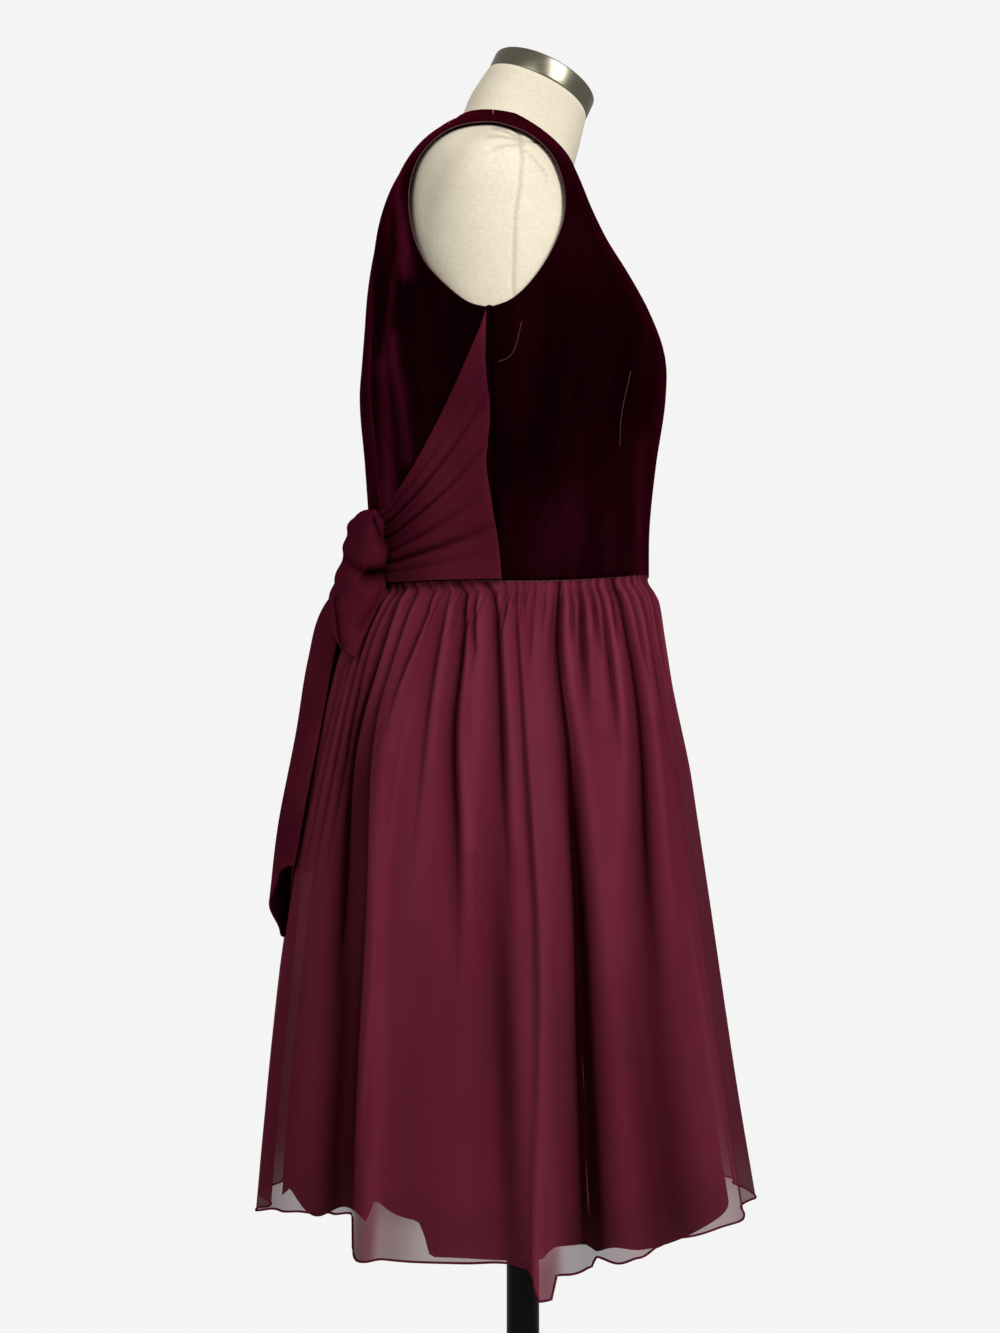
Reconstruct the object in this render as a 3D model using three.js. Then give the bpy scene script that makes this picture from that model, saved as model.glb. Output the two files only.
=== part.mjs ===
// A sleeveless dress on a limbless dress form: velvet bodice, sash panels tied in a back bow,
// a gathered chiffon skirt over a plain lining, and a stand with a round foot.
// Millimetres, +Z up. The wearer faces -Y and their right side is -X. The origin is on the floor under the middle.
import * as THREE from "three";

// Cloth walls and the air between pieces
const velvetWall = 1.6;
const chiffonWall = 1.2;
const liningWall = 1.0;
const sashWall = 1.5;
const seamGap = 0.35;

// Stand
const footRadius = 190;
const footHeight = 10;
const footEdge = 3;
const poleRadius = 13.5;
const torsoFloor = 780;
const capRadius = 49;
const capHeight = 19;
const capEdge = 3;

// Dress
const neckline = 1406;
const neckScoop = 13; // how much lower the neckline sits on the form in front
const waistSeamDepth = 17; // y of the side seam at the waist
const seamDepth = 25; // y of the side seam at the underarm and of the shoulder seam
const waistSide = 990;
const waistFrontRise = 23;
const waistBackRise = 13;
const hemSide = 484;
const hemFrontRise = 14;
const hemBackRise = 11;
const liningLift = 4; // how much shorter the lining is
const gatherCount = 50;

// Rings of the dress form. dip and rise are its slope towards the front and towards the back,
// ease the air between form and bodice, and hang how far the bodice falls clear at the back.
const torsoRings = [
  { height: 780, halfWidth: 168, front: -112, back: 122, dip: 0, rise: 0, ease: 2.4, hang: 32 },
  { height: 830, halfWidth: 172, front: -114, back: 124, dip: 0, rise: 0, ease: 2.4, hang: 32 },
  { height: 880, halfWidth: 163, front: -114, back: 118, dip: 0, rise: 0, ease: 2.4, hang: 32 },
  { height: 930, halfWidth: 142, front: -111, back: 106, dip: 0, rise: 0, ease: 2.4, hang: 32 },
  { height: 960, halfWidth: 127, front: -108, back: 98, dip: 0, rise: 0, ease: 2.4, hang: 32 },
  { height: 985, halfWidth: 119, front: -106, back: 93, dip: 0, rise: 0, ease: 2.4, hang: 33 },
  { height: 1012, halfWidth: 118, front: -106, back: 93, dip: 0, rise: 0, ease: 2.4, hang: 33 },
  { height: 1055, halfWidth: 124, front: -107, back: 95, dip: 0, rise: 0, ease: 2.4, hang: 33 },
  { height: 1110, halfWidth: 137, front: -113, back: 102, dip: 0, rise: 0, ease: 2.4, hang: 30 },
  { height: 1170, halfWidth: 151, front: -122, back: 112, dip: 0, rise: 0, ease: 2.4, hang: 25 },
  { height: 1200, halfWidth: 155, front: -122, back: 115, dip: 0, rise: 0, ease: 2.4, hang: 20 },
  { height: 1230, halfWidth: 157, front: -111, back: 116, dip: 0, rise: 0, ease: 3.3, hang: 16 },
  { height: 1260, halfWidth: 159, front: -95, back: 117, dip: 0, rise: 0, ease: 3.3, hang: 13 },
  { height: 1290, halfWidth: 162, front: -76, back: 116, dip: 0, rise: 0, ease: 3.3, hang: 10 },
  { height: 1320, halfWidth: 165, front: -62, back: 113, dip: 0.02, rise: 0, ease: 3.1, hang: 7 },
  { height: 1345, halfWidth: 159, front: -54, back: 108, dip: 0.07, rise: 0.02, ease: 2.9, hang: 3 },
  { height: 1366, halfWidth: 135, front: -50, back: 98, dip: 0.17, rise: 0.07, ease: 2.7, hang: 0 },
  { height: 1387, halfWidth: 99, front: -47, back: 80, dip: 0.32, rise: 0.15, ease: 2.2, hang: 0 },
  { height: 1408, halfWidth: 62, front: -46, back: 58, dip: 0.49, rise: 0.25, ease: 1.8, hang: 0 },
  { height: 1430, halfWidth: 53, front: -52, back: 46.5, dip: 0.47, rise: 0.37, ease: 1.1, hang: 0 },
  { height: 1453, halfWidth: 49, front: -58, back: 31, dip: 0.46, rise: 0.46, ease: 1.1, hang: 0 },
];
const torsoFullness = 2.2; // 2 is an ellipse, more is squarer
const shoulderRows = 1320; // above this the form has a row between each two rings

// The armhole's edge on the front and on the back panel, as y at each height
const armholeEdge = [
  { height: 1206, front: 25, back: 25 },
  { height: 1212, front: 9, back: 40 },
  { height: 1228, front: -7, back: 56 },
  { height: 1252, front: -21, back: 73 },
  { height: 1282, front: -30, back: 84 },
  { height: 1314, front: -30, back: 88 },
  { height: 1338, front: -23, back: 83 },
  { height: 1354, front: -12, back: 69 },
  { height: 1362, front: -3, back: 57 },
  { height: 1366, front: 7, back: 44 },
  { height: 1369, front: 25, back: 25 },
];
const rowsToUnderarm = 6;
const rowsOverShoulder = 4;
const bodiceColumns = { front: 18, back: 22 };

// Soft lengthwise folds of the loose back, by angle round the body
const backFolds = [
  { angle: 48, spread: 6, depth: -2.2 },
  { angle: 57, spread: 5, depth: 3.2 },
  { angle: 68, spread: 6, depth: -2.4 },
  { angle: 80, spread: 7, depth: 1.8 },
  { angle: 102, spread: 8, depth: 1.6 },
  { angle: 113, spread: 6, depth: -2.8 },
  { angle: 123, spread: 5, depth: 3.6 },
  { angle: 133, spread: 6, depth: -2.0 },
];

// The skirt between waist and hem: fall is 0 at the waist and 1 at the hem
const skirtRings = [
  { fall: 0, halfWidth: 122, middle: -6, front: -110, back: 130 },
  { fall: 0.02, halfWidth: 128, middle: -5, front: -113, back: 136 },
  { fall: 0.05, halfWidth: 138, middle: -3, front: -117.5, back: 143 },
  { fall: 0.1, halfWidth: 150, middle: 0, front: -121, back: 153 },
  { fall: 0.2, halfWidth: 169, middle: 4, front: -128, back: 166 },
  { fall: 0.3, halfWidth: 182, middle: 7, front: -135.5, back: 176 },
  { fall: 0.4, halfWidth: 191, middle: 9, front: -141.5, back: 184 },
  { fall: 0.55, halfWidth: 204, middle: 11, front: -151, back: 193 },
  { fall: 0.7, halfWidth: 217, middle: 13, front: -161, back: 201 },
  { fall: 0.85, halfWidth: 232, middle: 14, front: -172, back: 208 },
  { fall: 1, halfWidth: 248, middle: 15, front: -184, back: 213 },
];
const liningRings = [
  { fall: 0, halfWidth: 119, middle: -6, front: -107, back: 126 },
  { fall: 0.02, halfWidth: 122, middle: -5, front: -109, back: 128.5 },
  { fall: 0.05, halfWidth: 131, middle: -3, front: -112, back: 134 },
  { fall: 0.1, halfWidth: 144, middle: 0, front: -115, back: 141 },
  { fall: 0.2, halfWidth: 163.5, middle: 4, front: -119, back: 152 },
  { fall: 0.3, halfWidth: 176, middle: 7, front: -124, back: 162 },
  { fall: 0.4, halfWidth: 181, middle: 9, front: -129, back: 170 },
  { fall: 0.55, halfWidth: 188, middle: 11, front: -136.5, back: 179 },
  { fall: 0.7, halfWidth: 198, middle: 13, front: -145, back: 186 },
  { fall: 0.85, halfWidth: 210, middle: 14, front: -154, back: 192 },
  { fall: 1, halfWidth: 223, middle: 15, front: -165, back: 196 },
];
const skirtFullness = 2.25;
const skirtSeamTop = 4; // degrees behind the side at the waist
const skirtSeamHem = -8; // and in front of it at the hem
const gatherRows = [0, 0.014, 0.04, 0.09];
const foldRows = [0.17, 0.28, 0.42, 0.57, 0.72, 0.87, 1];
const liningRows = [0, 0.025, 0.06, 0.11, 0.18, 0.28, 0.45, 0.7, 1];
const liningColumns = 24;

// How the small gathers swell below the waistband and melt into the large folds
const gatherSwell = [
  { fall: 0, depth: 0.25, fold: 0 },
  { fall: 0.014, depth: 1.1, fold: 0.02 },
  { fall: 0.04, depth: 1.9, fold: 0.06 },
  { fall: 0.09, depth: 2.0, fold: 0.14 },
  { fall: 0.16, depth: 1.7, fold: 0.22 },
  { fall: 0.25, depth: 1.3, fold: 0.32 },
  { fall: 0.5, depth: 0.5, fold: 0.6 },
  { fall: 1, depth: 0.2, fold: 1 },
];

// Large folds of the overlay at the hem. Positive depth stands out. drop lowers the hem there.
const skirtFolds = [
  { angle: 8, spread: 6, depth: 9, drop: 8 },
  { angle: 20, spread: 5, depth: -9, drop: 0 },
  { angle: 33, spread: 7, depth: 7, drop: 4 },
  { angle: 47, spread: 6, depth: -8, drop: -3 },
  { angle: 62, spread: 7, depth: 6, drop: 2 },
  { angle: 76, spread: 5, depth: -7, drop: -2 },
  { angle: 90, spread: 7, depth: 6, drop: 1 },
  { angle: 104, spread: 5, depth: -8, drop: -1 },
  { angle: 117, spread: 6, depth: 7, drop: 3 },
  { angle: 131, spread: 6, depth: -10, drop: -2 },
  { angle: 148, spread: 4, depth: 10, drop: 4 },
  { angle: 162, spread: 9, depth: 3, drop: 0 },
  { angle: 176, spread: 5, depth: -9, drop: 2 },
  { angle: 186, spread: 4, depth: 12, drop: 22 },
  { angle: 196, spread: 4, depth: -13, drop: 4 },
  { angle: 205, spread: 5, depth: 5, drop: 6 },
  { angle: 217, spread: 6, depth: -5, drop: 0 },
  { angle: 231, spread: 8, depth: 5, drop: -2 },
  { angle: 246, spread: 6, depth: -6, drop: 0 },
  { angle: 262, spread: 7, depth: 6, drop: 3 },
  { angle: 277, spread: 6, depth: -6, drop: 0 },
  { angle: 292, spread: 7, depth: 6, drop: 2 },
  { angle: 307, spread: 6, depth: -7, drop: 0 },
  { angle: 322, spread: 6, depth: 7, drop: 5 },
  { angle: 337, spread: 5, depth: -9, drop: 0 },
  { angle: 350, spread: 6, depth: 8, drop: 10 },
];
const liningWaveCount = 9;
const liningWaveDepth = 4;

// Sash panel, from the side seam to the knot
const sashKnotAngle = 94.5;
const sashAir = 2; // between sash and bodice
const sashHem = 2.5; // its lower edge above the waist seam
const sashTopAtKnot = 1050;
const sashSweep = 3.3; // how soon the top edge drops to the knot
const sashBottomAtKnot = 1024;
const sashColumns = 8;
const sashRows = 12;
const sashPleats = 5;
const sashPleatDepth = 2.6;

// Bow
const knotHeight = 1038;
const knotY = 144.5;
const knotRadius = { x: 19, y: 9, z: 20 };
const loopStart = 18.7;
const loopLength = 88;
const loopSpread = 13; // half the thickness of the open loop
const loopTwist = 4; // how much thinner it is at its twist
const loopEndY = 127; // y of the middle of its outer end
const loopPinch = 9;
const loopHalfWidth = 66;
const loopDroop = 26; // degrees below level
const loopAir = 6.5; // between the loop's inner layer and the skirt
const loopRoot = 3.2; // half the distance between the loop's two ends in the knot
const loopSoftness = 5; // how softly it turns where it comes to lie on the skirt
const loopColumns = 18;
const loopRows = 7;
const tailRings = [
  { fall: 0, height: 1018.2, y: 146, x: 9, halfWidth: 7 },
  { fall: 0.1, height: 985, y: 170, x: 16, halfWidth: 14 },
  { fall: 0.25, height: 940, y: 181, x: 24, halfWidth: 22 },
  { fall: 0.45, height: 875, y: 189, x: 33, halfWidth: 31 },
  { fall: 0.7, height: 795, y: 201, x: 41, halfWidth: 38 },
  { fall: 1, height: 716, y: 207, x: 46, halfWidth: 41 },
];
const tailRound = 250; // radius that the tails share with the back of the skirt
const tailPoint = 28; // how far the tip hangs below the middle of the end
const tailFoldDepth = 3;
const tailColumns = 6;
const tailRows = 10;

const degrees = Math.PI / 180;
const velvet = new THREE.MeshStandardMaterial({ color: 0x24040a, roughness: 0.85 });
const chiffon = new THREE.MeshStandardMaterial({ color: 0x5e1a2a, roughness: 0.9 });
const crepe = new THREE.MeshStandardMaterial({ color: 0x55162a, roughness: 0.9 });
const satin = new THREE.MeshStandardMaterial({ color: 0x4a1424, roughness: 0.8 });
const linen = new THREE.MeshStandardMaterial({ color: 0xe1d7be, roughness: 0.95 });
const nickel = new THREE.MeshStandardMaterial({ color: 0x9a958c, roughness: 0.35, metalness: 1 });
const blackPaint = new THREE.MeshStandardMaterial({ color: 0x0b0b0c, roughness: 0.3 });

// ---- Tables and surfaces ----

// A table of rows becomes a function that gives a smooth row for any value of its first column.
function smoothTable(rows, key) {
  const columns = Object.keys(rows[0]).filter((name) => name !== key);
  const values = rows.flatMap((row) => columns.map((name) => row[name]));
  const at = new THREE.CubicInterpolant(
    rows.map((row) => row[key]),
    values,
    columns.length,
    new Float64Array(columns.length),
  );
  const [first, last] = [rows[0][key], rows.at(-1)[key]];
  return (value) => {
    const result = at.evaluate(Math.min(Math.max(value, first), last));
    return Object.fromEntries(columns.map((name, i) => [name, result[i]]));
  };
}

const torsoShape = smoothTable(torsoRings, "height");
const skirtShape = smoothTable(skirtRings, "fall");
const liningShape = smoothTable(liningRings, "fall");
const swellAt = smoothTable(gatherSwell, "fall");
const tailShape = smoothTable(tailRings, "fall");

// A point on a rounded ring at a polar angle: 0 is the wearer's left, 90 degrees the back.
function ringPoint({ halfWidth, front, back, middle = (front + back) / 2 }, fullness, angle) {
  const depth = Math.sin(angle) > 0 ? back - middle : middle - front;
  const across = Math.abs(Math.cos(angle) / halfWidth) ** fullness;
  const along = Math.abs(Math.sin(angle) / depth) ** fullness;
  const radius = (across + along) ** (-1 / fullness);
  return { x: radius * Math.cos(angle), y: middle + radius * Math.sin(angle), middle };
}

function torsoSurface(angle, height) {
  const ring = torsoShape(height);
  const { x, y, middle } = ringPoint(ring, torsoFullness, angle);
  const slope = y > middle ? ring.rise : ring.dip;
  return new THREE.Vector3(x, y, height + slope * (y - middle));
}

// A surface's point moved along its outward normal. Its two directions run round and up.
function raised(surface, a, b, lift) {
  const step = 0.01;
  const round = surface(a + step, b).sub(surface(a - step, b));
  const up = surface(a, b + step).sub(surface(a, b - step));
  return surface(a, b).addScaledVector(round.cross(up).normalize(), lift);
}

function hump(angle, { angle: centre, spread }) {
  const away = ((angle / degrees - centre + 540) % 360) - 180;
  return Math.exp(-((away / spread) ** 2));
}

function foldSum(angle, folds, column) {
  return folds.reduce((sum, fold) => sum + fold[column] * hump(angle, fold), 0);
}

// The bodice's outer face, over the form with its ease, its hang and its back folds
function bodiceSurface(angle, height) {
  const { ease, hang } = torsoShape(height);
  const backShare = Math.max(0, Math.sin(angle)) ** 1.4;
  const foldShare = THREE.MathUtils.smoothstep(1395 - height, 0, 110);
  const folds = foldSum(angle, backFolds, "depth") * foldShare * backShare;
  const point = raised(torsoSurface, angle, height, ease + velvetWall + folds);
  point.y += hang * backShare;
  return point;
}

// A level line round the dress that rises from the sides towards the front and the back
function edgeHeight(angle, side, frontRise, backRise) {
  return side + (Math.sin(angle) < 0 ? frontRise : backRise) * Math.sin(angle) ** 2;
}

function waistHeight(angle) {
  return edgeHeight(angle, waistSide, waistFrontRise, waistBackRise);
}

function hemHeight(angle) {
  return edgeHeight(angle, hemSide, hemFrontRise, hemBackRise);
}

// The angle at which a ring of the torso passes a given y, on the wearer's left
function angleAtDepth(height, y) {
  const { halfWidth, front, back } = torsoShape(height);
  const middle = (front + back) / 2;
  const share = Math.min(1, Math.abs(y - middle) / ((back - front) / 2));
  const x = halfWidth * (1 - share ** torsoFullness) ** (1 / torsoFullness);
  return Math.atan2(y - middle, x);
}

// ---- Solids ----

// Triangles between two rows of vertex numbers, which may hold different counts
function zip(lower, upper) {
  const faces = [];
  let i = 0;
  let j = 0;
  while (i < lower.length - 1 || j < upper.length - 1) {
    const nextLower = (i + 1) / (lower.length - 1);
    const nextUpper = (j + 1) / (upper.length - 1);
    if (nextLower <= nextUpper + 1e-9) {
      faces.push(lower[i], lower[i + 1], upper[j]);
      i += 1;
    } else {
      faces.push(lower[i], upper[j + 1], upper[j]);
      j += 1;
    }
  }
  return faces;
}

function meshOf(name, material, points, faces) {
  const geometry = new THREE.BufferGeometry().setFromPoints(points);
  geometry.setIndex(faces);
  const mesh = new THREE.Mesh(geometry, material);
  mesh.name = name;
  return mesh;
}

// A sheet with thickness, from the rows of its outer face and of its inner one
function wall(name, material, outerRows, innerRows) {
  const points = [];
  const number = (rows) => rows.map((row) => row.map((point) => points.push(point) - 1));
  const outer = number(outerRows);
  const inner = number(innerRows);
  const faces = [];
  for (let j = 0; j < outer.length - 1; j += 1) {
    faces.push(...zip(outer[j], outer[j + 1]));
    faces.push(...zip(inner[j], inner[j + 1]).reverse());
  }
  const edge = (rows) => [
    ...rows[0],
    ...rows.slice(1).map((row) => row.at(-1)),
    ...rows.at(-1).slice(0, -1).reverse(),
    ...rows.slice(1, -1).map((row) => row[0]).reverse(),
  ];
  const outerEdge = edge(outer);
  const innerEdge = edge(inner);
  outerEdge.forEach((p, k) => {
    const next = (k + 1) % outerEdge.length;
    faces.push(outerEdge[next], p, innerEdge[k], outerEdge[next], innerEdge[k], innerEdge[next]);
  });
  return meshOf(name, material, points, faces);
}

// A closed solid from full rings, each with its own centre cap at the two ends
function loft(name, material, rings) {
  const points = rings.flat();
  const count = rings[0].length;
  const faces = [];
  const ringAt = (j) => [...Array(count + 1).keys()].map((i) => j * count + (i % count));
  for (let j = 0; j < rings.length - 1; j += 1) {
    faces.push(...zip(ringAt(j), ringAt(j + 1)));
  }
  const cap = (j, flip) => {
    const centre = rings[j].reduce((sum, p) => sum.add(p), new THREE.Vector3());
    points.push(centre.divideScalar(count));
    const round = ringAt(j);
    for (let i = 0; i < count; i += 1) {
      const pair = flip ? [round[i + 1], round[i]] : [round[i], round[i + 1]];
      faces.push(...pair, points.length - 1);
    }
  };
  cap(0, true);
  cap(rings.length - 1, false);
  return meshOf(name, material, points, faces);
}

function spread(count) {
  return [...Array(count + 1).keys()].map((i) => i / count);
}

function mirrored(rows) {
  return rows.map((row) => row.map((p) => new THREE.Vector3(-p.x, p.y, p.z)).reverse());
}

// ---- Dress form and stand ----

function formTorso() {
  const rows = torsoRings.map((ring) => ring.height);
  const between = rows.slice(1).map((height, i) => (height + rows[i]) / 2);
  const heights = [...rows, ...between.filter((height) => height > shoulderRows)].sort((a, b) => a - b);
  const columns = 32;
  const rings = heights.map((height) =>
    [...Array(columns).keys()].map((i) => torsoSurface((2 * Math.PI * i) / columns, height)),
  );
  return loft("form_torso", linen, rings);
}

function formNeckCap() {
  const { height: neckTop, front, back, dip } = torsoRings.at(-1);
  const profile = [
    [0, seamGap],
    [capRadius, seamGap],
    [capRadius, capHeight - capEdge],
    [capRadius - capEdge, capHeight],
    [0, capHeight],
  ];
  const cap = new THREE.Mesh(
    new THREE.LatheGeometry(profile.map(([r, h]) => new THREE.Vector2(r, h)), 30),
    nickel,
  );
  cap.name = "form_neck_cap";
  cap.rotation.x = Math.PI / 2 + Math.atan(dip);
  cap.position.set(0, (front + back) / 2, neckTop);
  return cap;
}

function formPole() {
  const length = torsoFloor - footHeight - 2 * seamGap;
  const pole = new THREE.Mesh(new THREE.CylinderGeometry(poleRadius, poleRadius, length, 18), blackPaint);
  pole.name = "form_pole";
  pole.rotation.x = Math.PI / 2;
  pole.position.z = footHeight + seamGap + length / 2;
  return pole;
}

function formFoot() {
  const profile = [
    [0, 0],
    [footRadius, 0],
    [footRadius, footHeight - footEdge],
    [footRadius - footEdge, footHeight],
    [0, footHeight],
  ];
  const foot = new THREE.Mesh(
    new THREE.LatheGeometry(profile.map(([r, h]) => new THREE.Vector2(r, h)), 40),
    blackPaint,
  );
  foot.name = "form_foot";
  foot.rotation.x = Math.PI / 2;
  return foot;
}

// ---- Bodice ----

// y of the side seam from the waist to the underarm
function sideSeam(share) {
  return waistSeamDepth + share * (seamDepth - waistSeamDepth);
}

// Rows of a bodice panel as pairs of angle and height, from the waist to the neckline
function bodiceGrid(side) {
  const isFront = side === "front";
  const gap = isFront ? -seamGap / 2 : seamGap / 2;
  const underarm = armholeEdge[0].height;
  const shoulder = armholeEdge.at(-1).height;
  const rows = [
    ...spread(rowsToUnderarm).slice(0, -1).map((t) => ({ share: t, y: sideSeam(t) })),
    ...armholeEdge.map((row) => ({ height: row.height, y: row[side] })),
    ...spread(rowsOverShoulder).slice(1).map((t) => ({
      height: shoulder + t * (neckline - shoulder),
      scoop: t * neckScoop,
      y: seamDepth,
    })),
  ];
  return rows.map(({ share, height, scoop = 0, y }) => {
    const level = height ?? waistSide + share * (underarm - waistSide);
    const edge = angleAtDepth(level, y + gap);
    const from = isFront ? Math.PI - edge : edge;
    const to = isFront ? 2 * Math.PI + edge : Math.PI - edge;
    return spread(bodiceColumns[side]).map((u) => {
      const angle = from + u * (to - from);
      const waist = waistHeight(angle);
      const front = Math.max(0, -Math.sin(angle)) ** 1.5;
      return { angle, height: (height ?? waist + share * (underarm - waist)) - scoop * front };
    });
  });
}

function bodicePanel(side) {
  const grid = bodiceGrid(side);
  const face = (lift) =>
    grid.map((row) => row.map(({ angle, height }) => raised(bodiceSurface, angle, height, lift)));
  return wall(`bodice_${side}`, velvet, face(0), face(-velvetWall));
}

// ---- Sash panels ----

function sashRowsAt(lift) {
  const underarm = armholeEdge[0].height - 2;
  const knot = sashKnotAngle * degrees;
  return spread(sashRows).map((v) => {
    const seam = Math.PI - angleAtDepth(waistSide + v * (underarm - waistSide), sideSeam(v) + 1);
    return spread(sashColumns).map((u) => {
      const angle = seam + u * (knot - seam);
      const waist = waistHeight(angle) + sashHem;
      const low = waist + (sashBottomAtKnot - waist) * THREE.MathUtils.smoothstep(u, 0.55, 1);
      const high = sashTopAtKnot + (underarm - sashTopAtKnot) * (1 - u) ** sashSweep;
      const pleat = Math.abs(Math.sin(Math.PI * sashPleats * v ** 0.9));
      const rise = pleat * sashPleatDepth * Math.sin(Math.PI * (0.12 + 0.76 * u));
      return raised(bodiceSurface, angle, low + v * (high - low), sashAir + rise + lift);
    }).reverse();
  });
}

function sashPanels() {
  const outer = sashRowsAt(sashWall);
  const inner = sashRowsAt(0);
  return [
    wall("sash_right", crepe, outer, inner),
    wall("sash_left", crepe, mirrored(outer), mirrored(inner)),
  ];
}

// ---- Bow ----

function bowKnot() {
  const knot = new THREE.Mesh(new THREE.SphereGeometry(1, 14, 9), crepe);
  knot.name = "bow_knot";
  knot.scale.set(knotRadius.x, knotRadius.y, knotRadius.z);
  knot.position.set(0, knotY, knotHeight);
  return knot;
}

// How far back the skirt stands at a distance from the middle, level with or below the waist
function skirtBack(x, height) {
  const waist = waistSide + waistBackRise;
  const fall = Math.max(0, (waist - height) / (waist - hemSide));
  const { halfWidth, middle, back } = skirtShape(fall);
  const share = Math.min(1, Math.abs(x) / halfWidth) ** skirtFullness;
  return middle + (back - middle) * (1 - share) ** (1 / skirtFullness);
}

// A loop is one strip that leaves the knot, turns round and comes back behind itself.
function loopSurface(along, across) {
  const open = Math.max(0, Math.sin(Math.PI * along));
  const out = loopStart + loopLength * open;
  const side = across * (loopPinch + (loopHalfWidth - loopPinch) * open ** 0.8);
  const droop = loopDroop * degrees;
  const x = -(out * Math.cos(droop) + 0.5 * side * Math.sin(droop));
  const height = knotHeight - out * Math.sin(droop) + side * Math.cos(droop);
  const swell = loopSpread - loopTwist * Math.cos(1.6 * Math.PI * (across - 0.1));
  const puff = swell * (1 - 0.4 * across) * (1 - 0.45 * across ** 2);
  const rest = knotY + (loopEndY - knotY) * open;
  const layer = loopRoot * (1 - 2 * along) + puff * Math.sin(2 * Math.PI * along);
  const floor = skirtBack(x, height) + loopAir;
  const y = (rest + layer + floor + Math.hypot(rest + layer - floor, loopSoftness)) / 2;
  return new THREE.Vector3(x, y + (rest + layer - y) * (1 - open) ** 4, height);
}

function bowLoops() {
  const face = (lift) =>
    spread(loopRows).map((v) =>
      spread(loopColumns).map((u) => raised(loopSurface, u, 2 * v - 1, lift)),
    );
  const outer = face(sashWall / 2);
  const inner = face(-sashWall / 2);
  return [
    wall("bow_loop_right", crepe, outer, inner),
    wall("bow_loop_left", crepe, mirrored(outer), mirrored(inner)),
  ];
}

function tailSurface(across, rise) {
  const fall = 1 - rise;
  const { height, y, x, halfWidth } = tailShape(fall);
  const sideways = -(x - across * halfWidth);
  const round = sideways ** 2 / (2 * tailRound);
  const folds = tailFoldDepth * Math.max(0, fall) ** 0.5 * Math.cos(2.4 * Math.PI * across + 0.6);
  const point = tailPoint * fall ** 2 * (across - 0.3);
  return new THREE.Vector3(sideways, y - round + folds, height + point);
}

function bowTails() {
  const face = (lift) =>
    spread(tailRows).map((v) =>
      spread(tailColumns).map((u) => raised(tailSurface, 1 - 2 * u, v, -lift)),
    );
  const outer = face(sashWall / 2);
  const inner = face(-sashWall / 2);
  return [
    wall("bow_tail_right", crepe, outer, inner),
    wall("bow_tail_left", crepe, mirrored(outer), mirrored(inner)),
  ];
}

// ---- Skirt ----

// Both layers start under the bodice's lower edge and swing out to their own rings.
function skirtBase(shape, inset, angle, fall, hem) {
  const waist = waistHeight(angle);
  const band = raised(bodiceSurface, angle, waist, -inset);
  const { x, y } = ringPoint(shape(fall), skirtFullness, angle);
  const away = THREE.MathUtils.smoothstep(fall, 0, 0.03);
  return new THREE.Vector3(
    band.x + (x - band.x) * away,
    band.y + (y - band.y) * away,
    waist - seamGap + (hem - waist) * fall,
  );
}

function outwards(point, angle, distance) {
  point.x += Math.cos(angle) * distance;
  point.y += Math.sin(angle) * distance;
  return point;
}

function overlaySurface(angle, rise) {
  const fall = 1 - rise;
  const hem = hemHeight(angle) - foldSum(angle, skirtFolds, "drop");
  const swell = swellAt(fall);
  const uneven = 0.9 * Math.sin(3 * angle + 1) + 0.5 * Math.sin(7 * angle);
  const gathers = swell.depth * (1 + Math.cos(gatherCount * angle + uneven));
  const folds = swell.fold * foldSum(angle, skirtFolds, "depth");
  return outwards(skirtBase(skirtShape, 0, angle, fall, hem), angle, gathers + folds);
}

function liningSurface(angle, rise) {
  const fall = 1 - rise;
  const inset = chiffonWall + 2 * seamGap;
  const wave = liningWaveDepth * fall * (1 + Math.sin(liningWaveCount * angle)) * 0.5;
  const hem = hemHeight(angle) + liningLift;
  return outwards(skirtBase(liningShape, inset, angle, fall, hem), angle, wave);
}

// Half a skirt layer, front or back of its side seams, as rows from the hem up
function skirtHalf(name, material, surface, thickness, isFront, rows) {
  const face = (lift) =>
    rows.toReversed().map(({ fall, columns }) => {
      const seam = skirtSeamTop + (skirtSeamHem - skirtSeamTop) * fall;
      const gap = (seamGap / 100 / 2) * (isFront ? -1 : 1);
      const edge = seam * degrees + gap;
      const from = isFront ? Math.PI - edge : edge;
      const to = isFront ? 2 * Math.PI + edge : Math.PI - edge;
      return spread(columns).map((u) => raised(surface, from + u * (to - from), 1 - fall, lift));
    });
  return wall(name, material, face(0), face(-thickness));
}

function skirtLayers() {
  const overlayRows = [
    ...gatherRows.map((fall) => ({ fall, columns: 2 * gatherCount })),
    ...foldRows.map((fall) => ({ fall, columns: gatherCount })),
  ];
  const plainRows = liningRows.map((fall) => ({ fall, columns: liningColumns }));
  return [
    skirtHalf("skirt_front", chiffon, overlaySurface, chiffonWall, true, overlayRows),
    skirtHalf("skirt_back", chiffon, overlaySurface, chiffonWall, false, overlayRows),
    skirtHalf("lining_front", satin, liningSurface, liningWall, true, plainRows),
    skirtHalf("lining_back", satin, liningSurface, liningWall, false, plainRows),
  ];
}

// The group is moved so that the origin lies under the middle of the whole part.
const dress = new THREE.Group();
dress.add(formTorso(), formNeckCap(), formPole(), formFoot());
dress.add(bodicePanel("front"), bodicePanel("back"), ...sashPanels());
dress.add(bowKnot(), ...bowLoops(), ...bowTails(), ...skirtLayers());
const middle = new THREE.Box3().setFromObject(dress).getCenter(new THREE.Vector3());
dress.position.set(-middle.x, -middle.y, 0);

const part = new THREE.Group();
part.add(dress);

export default part;
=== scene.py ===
import bisect
import functools
import math
import random
from types import SimpleNamespace

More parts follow.
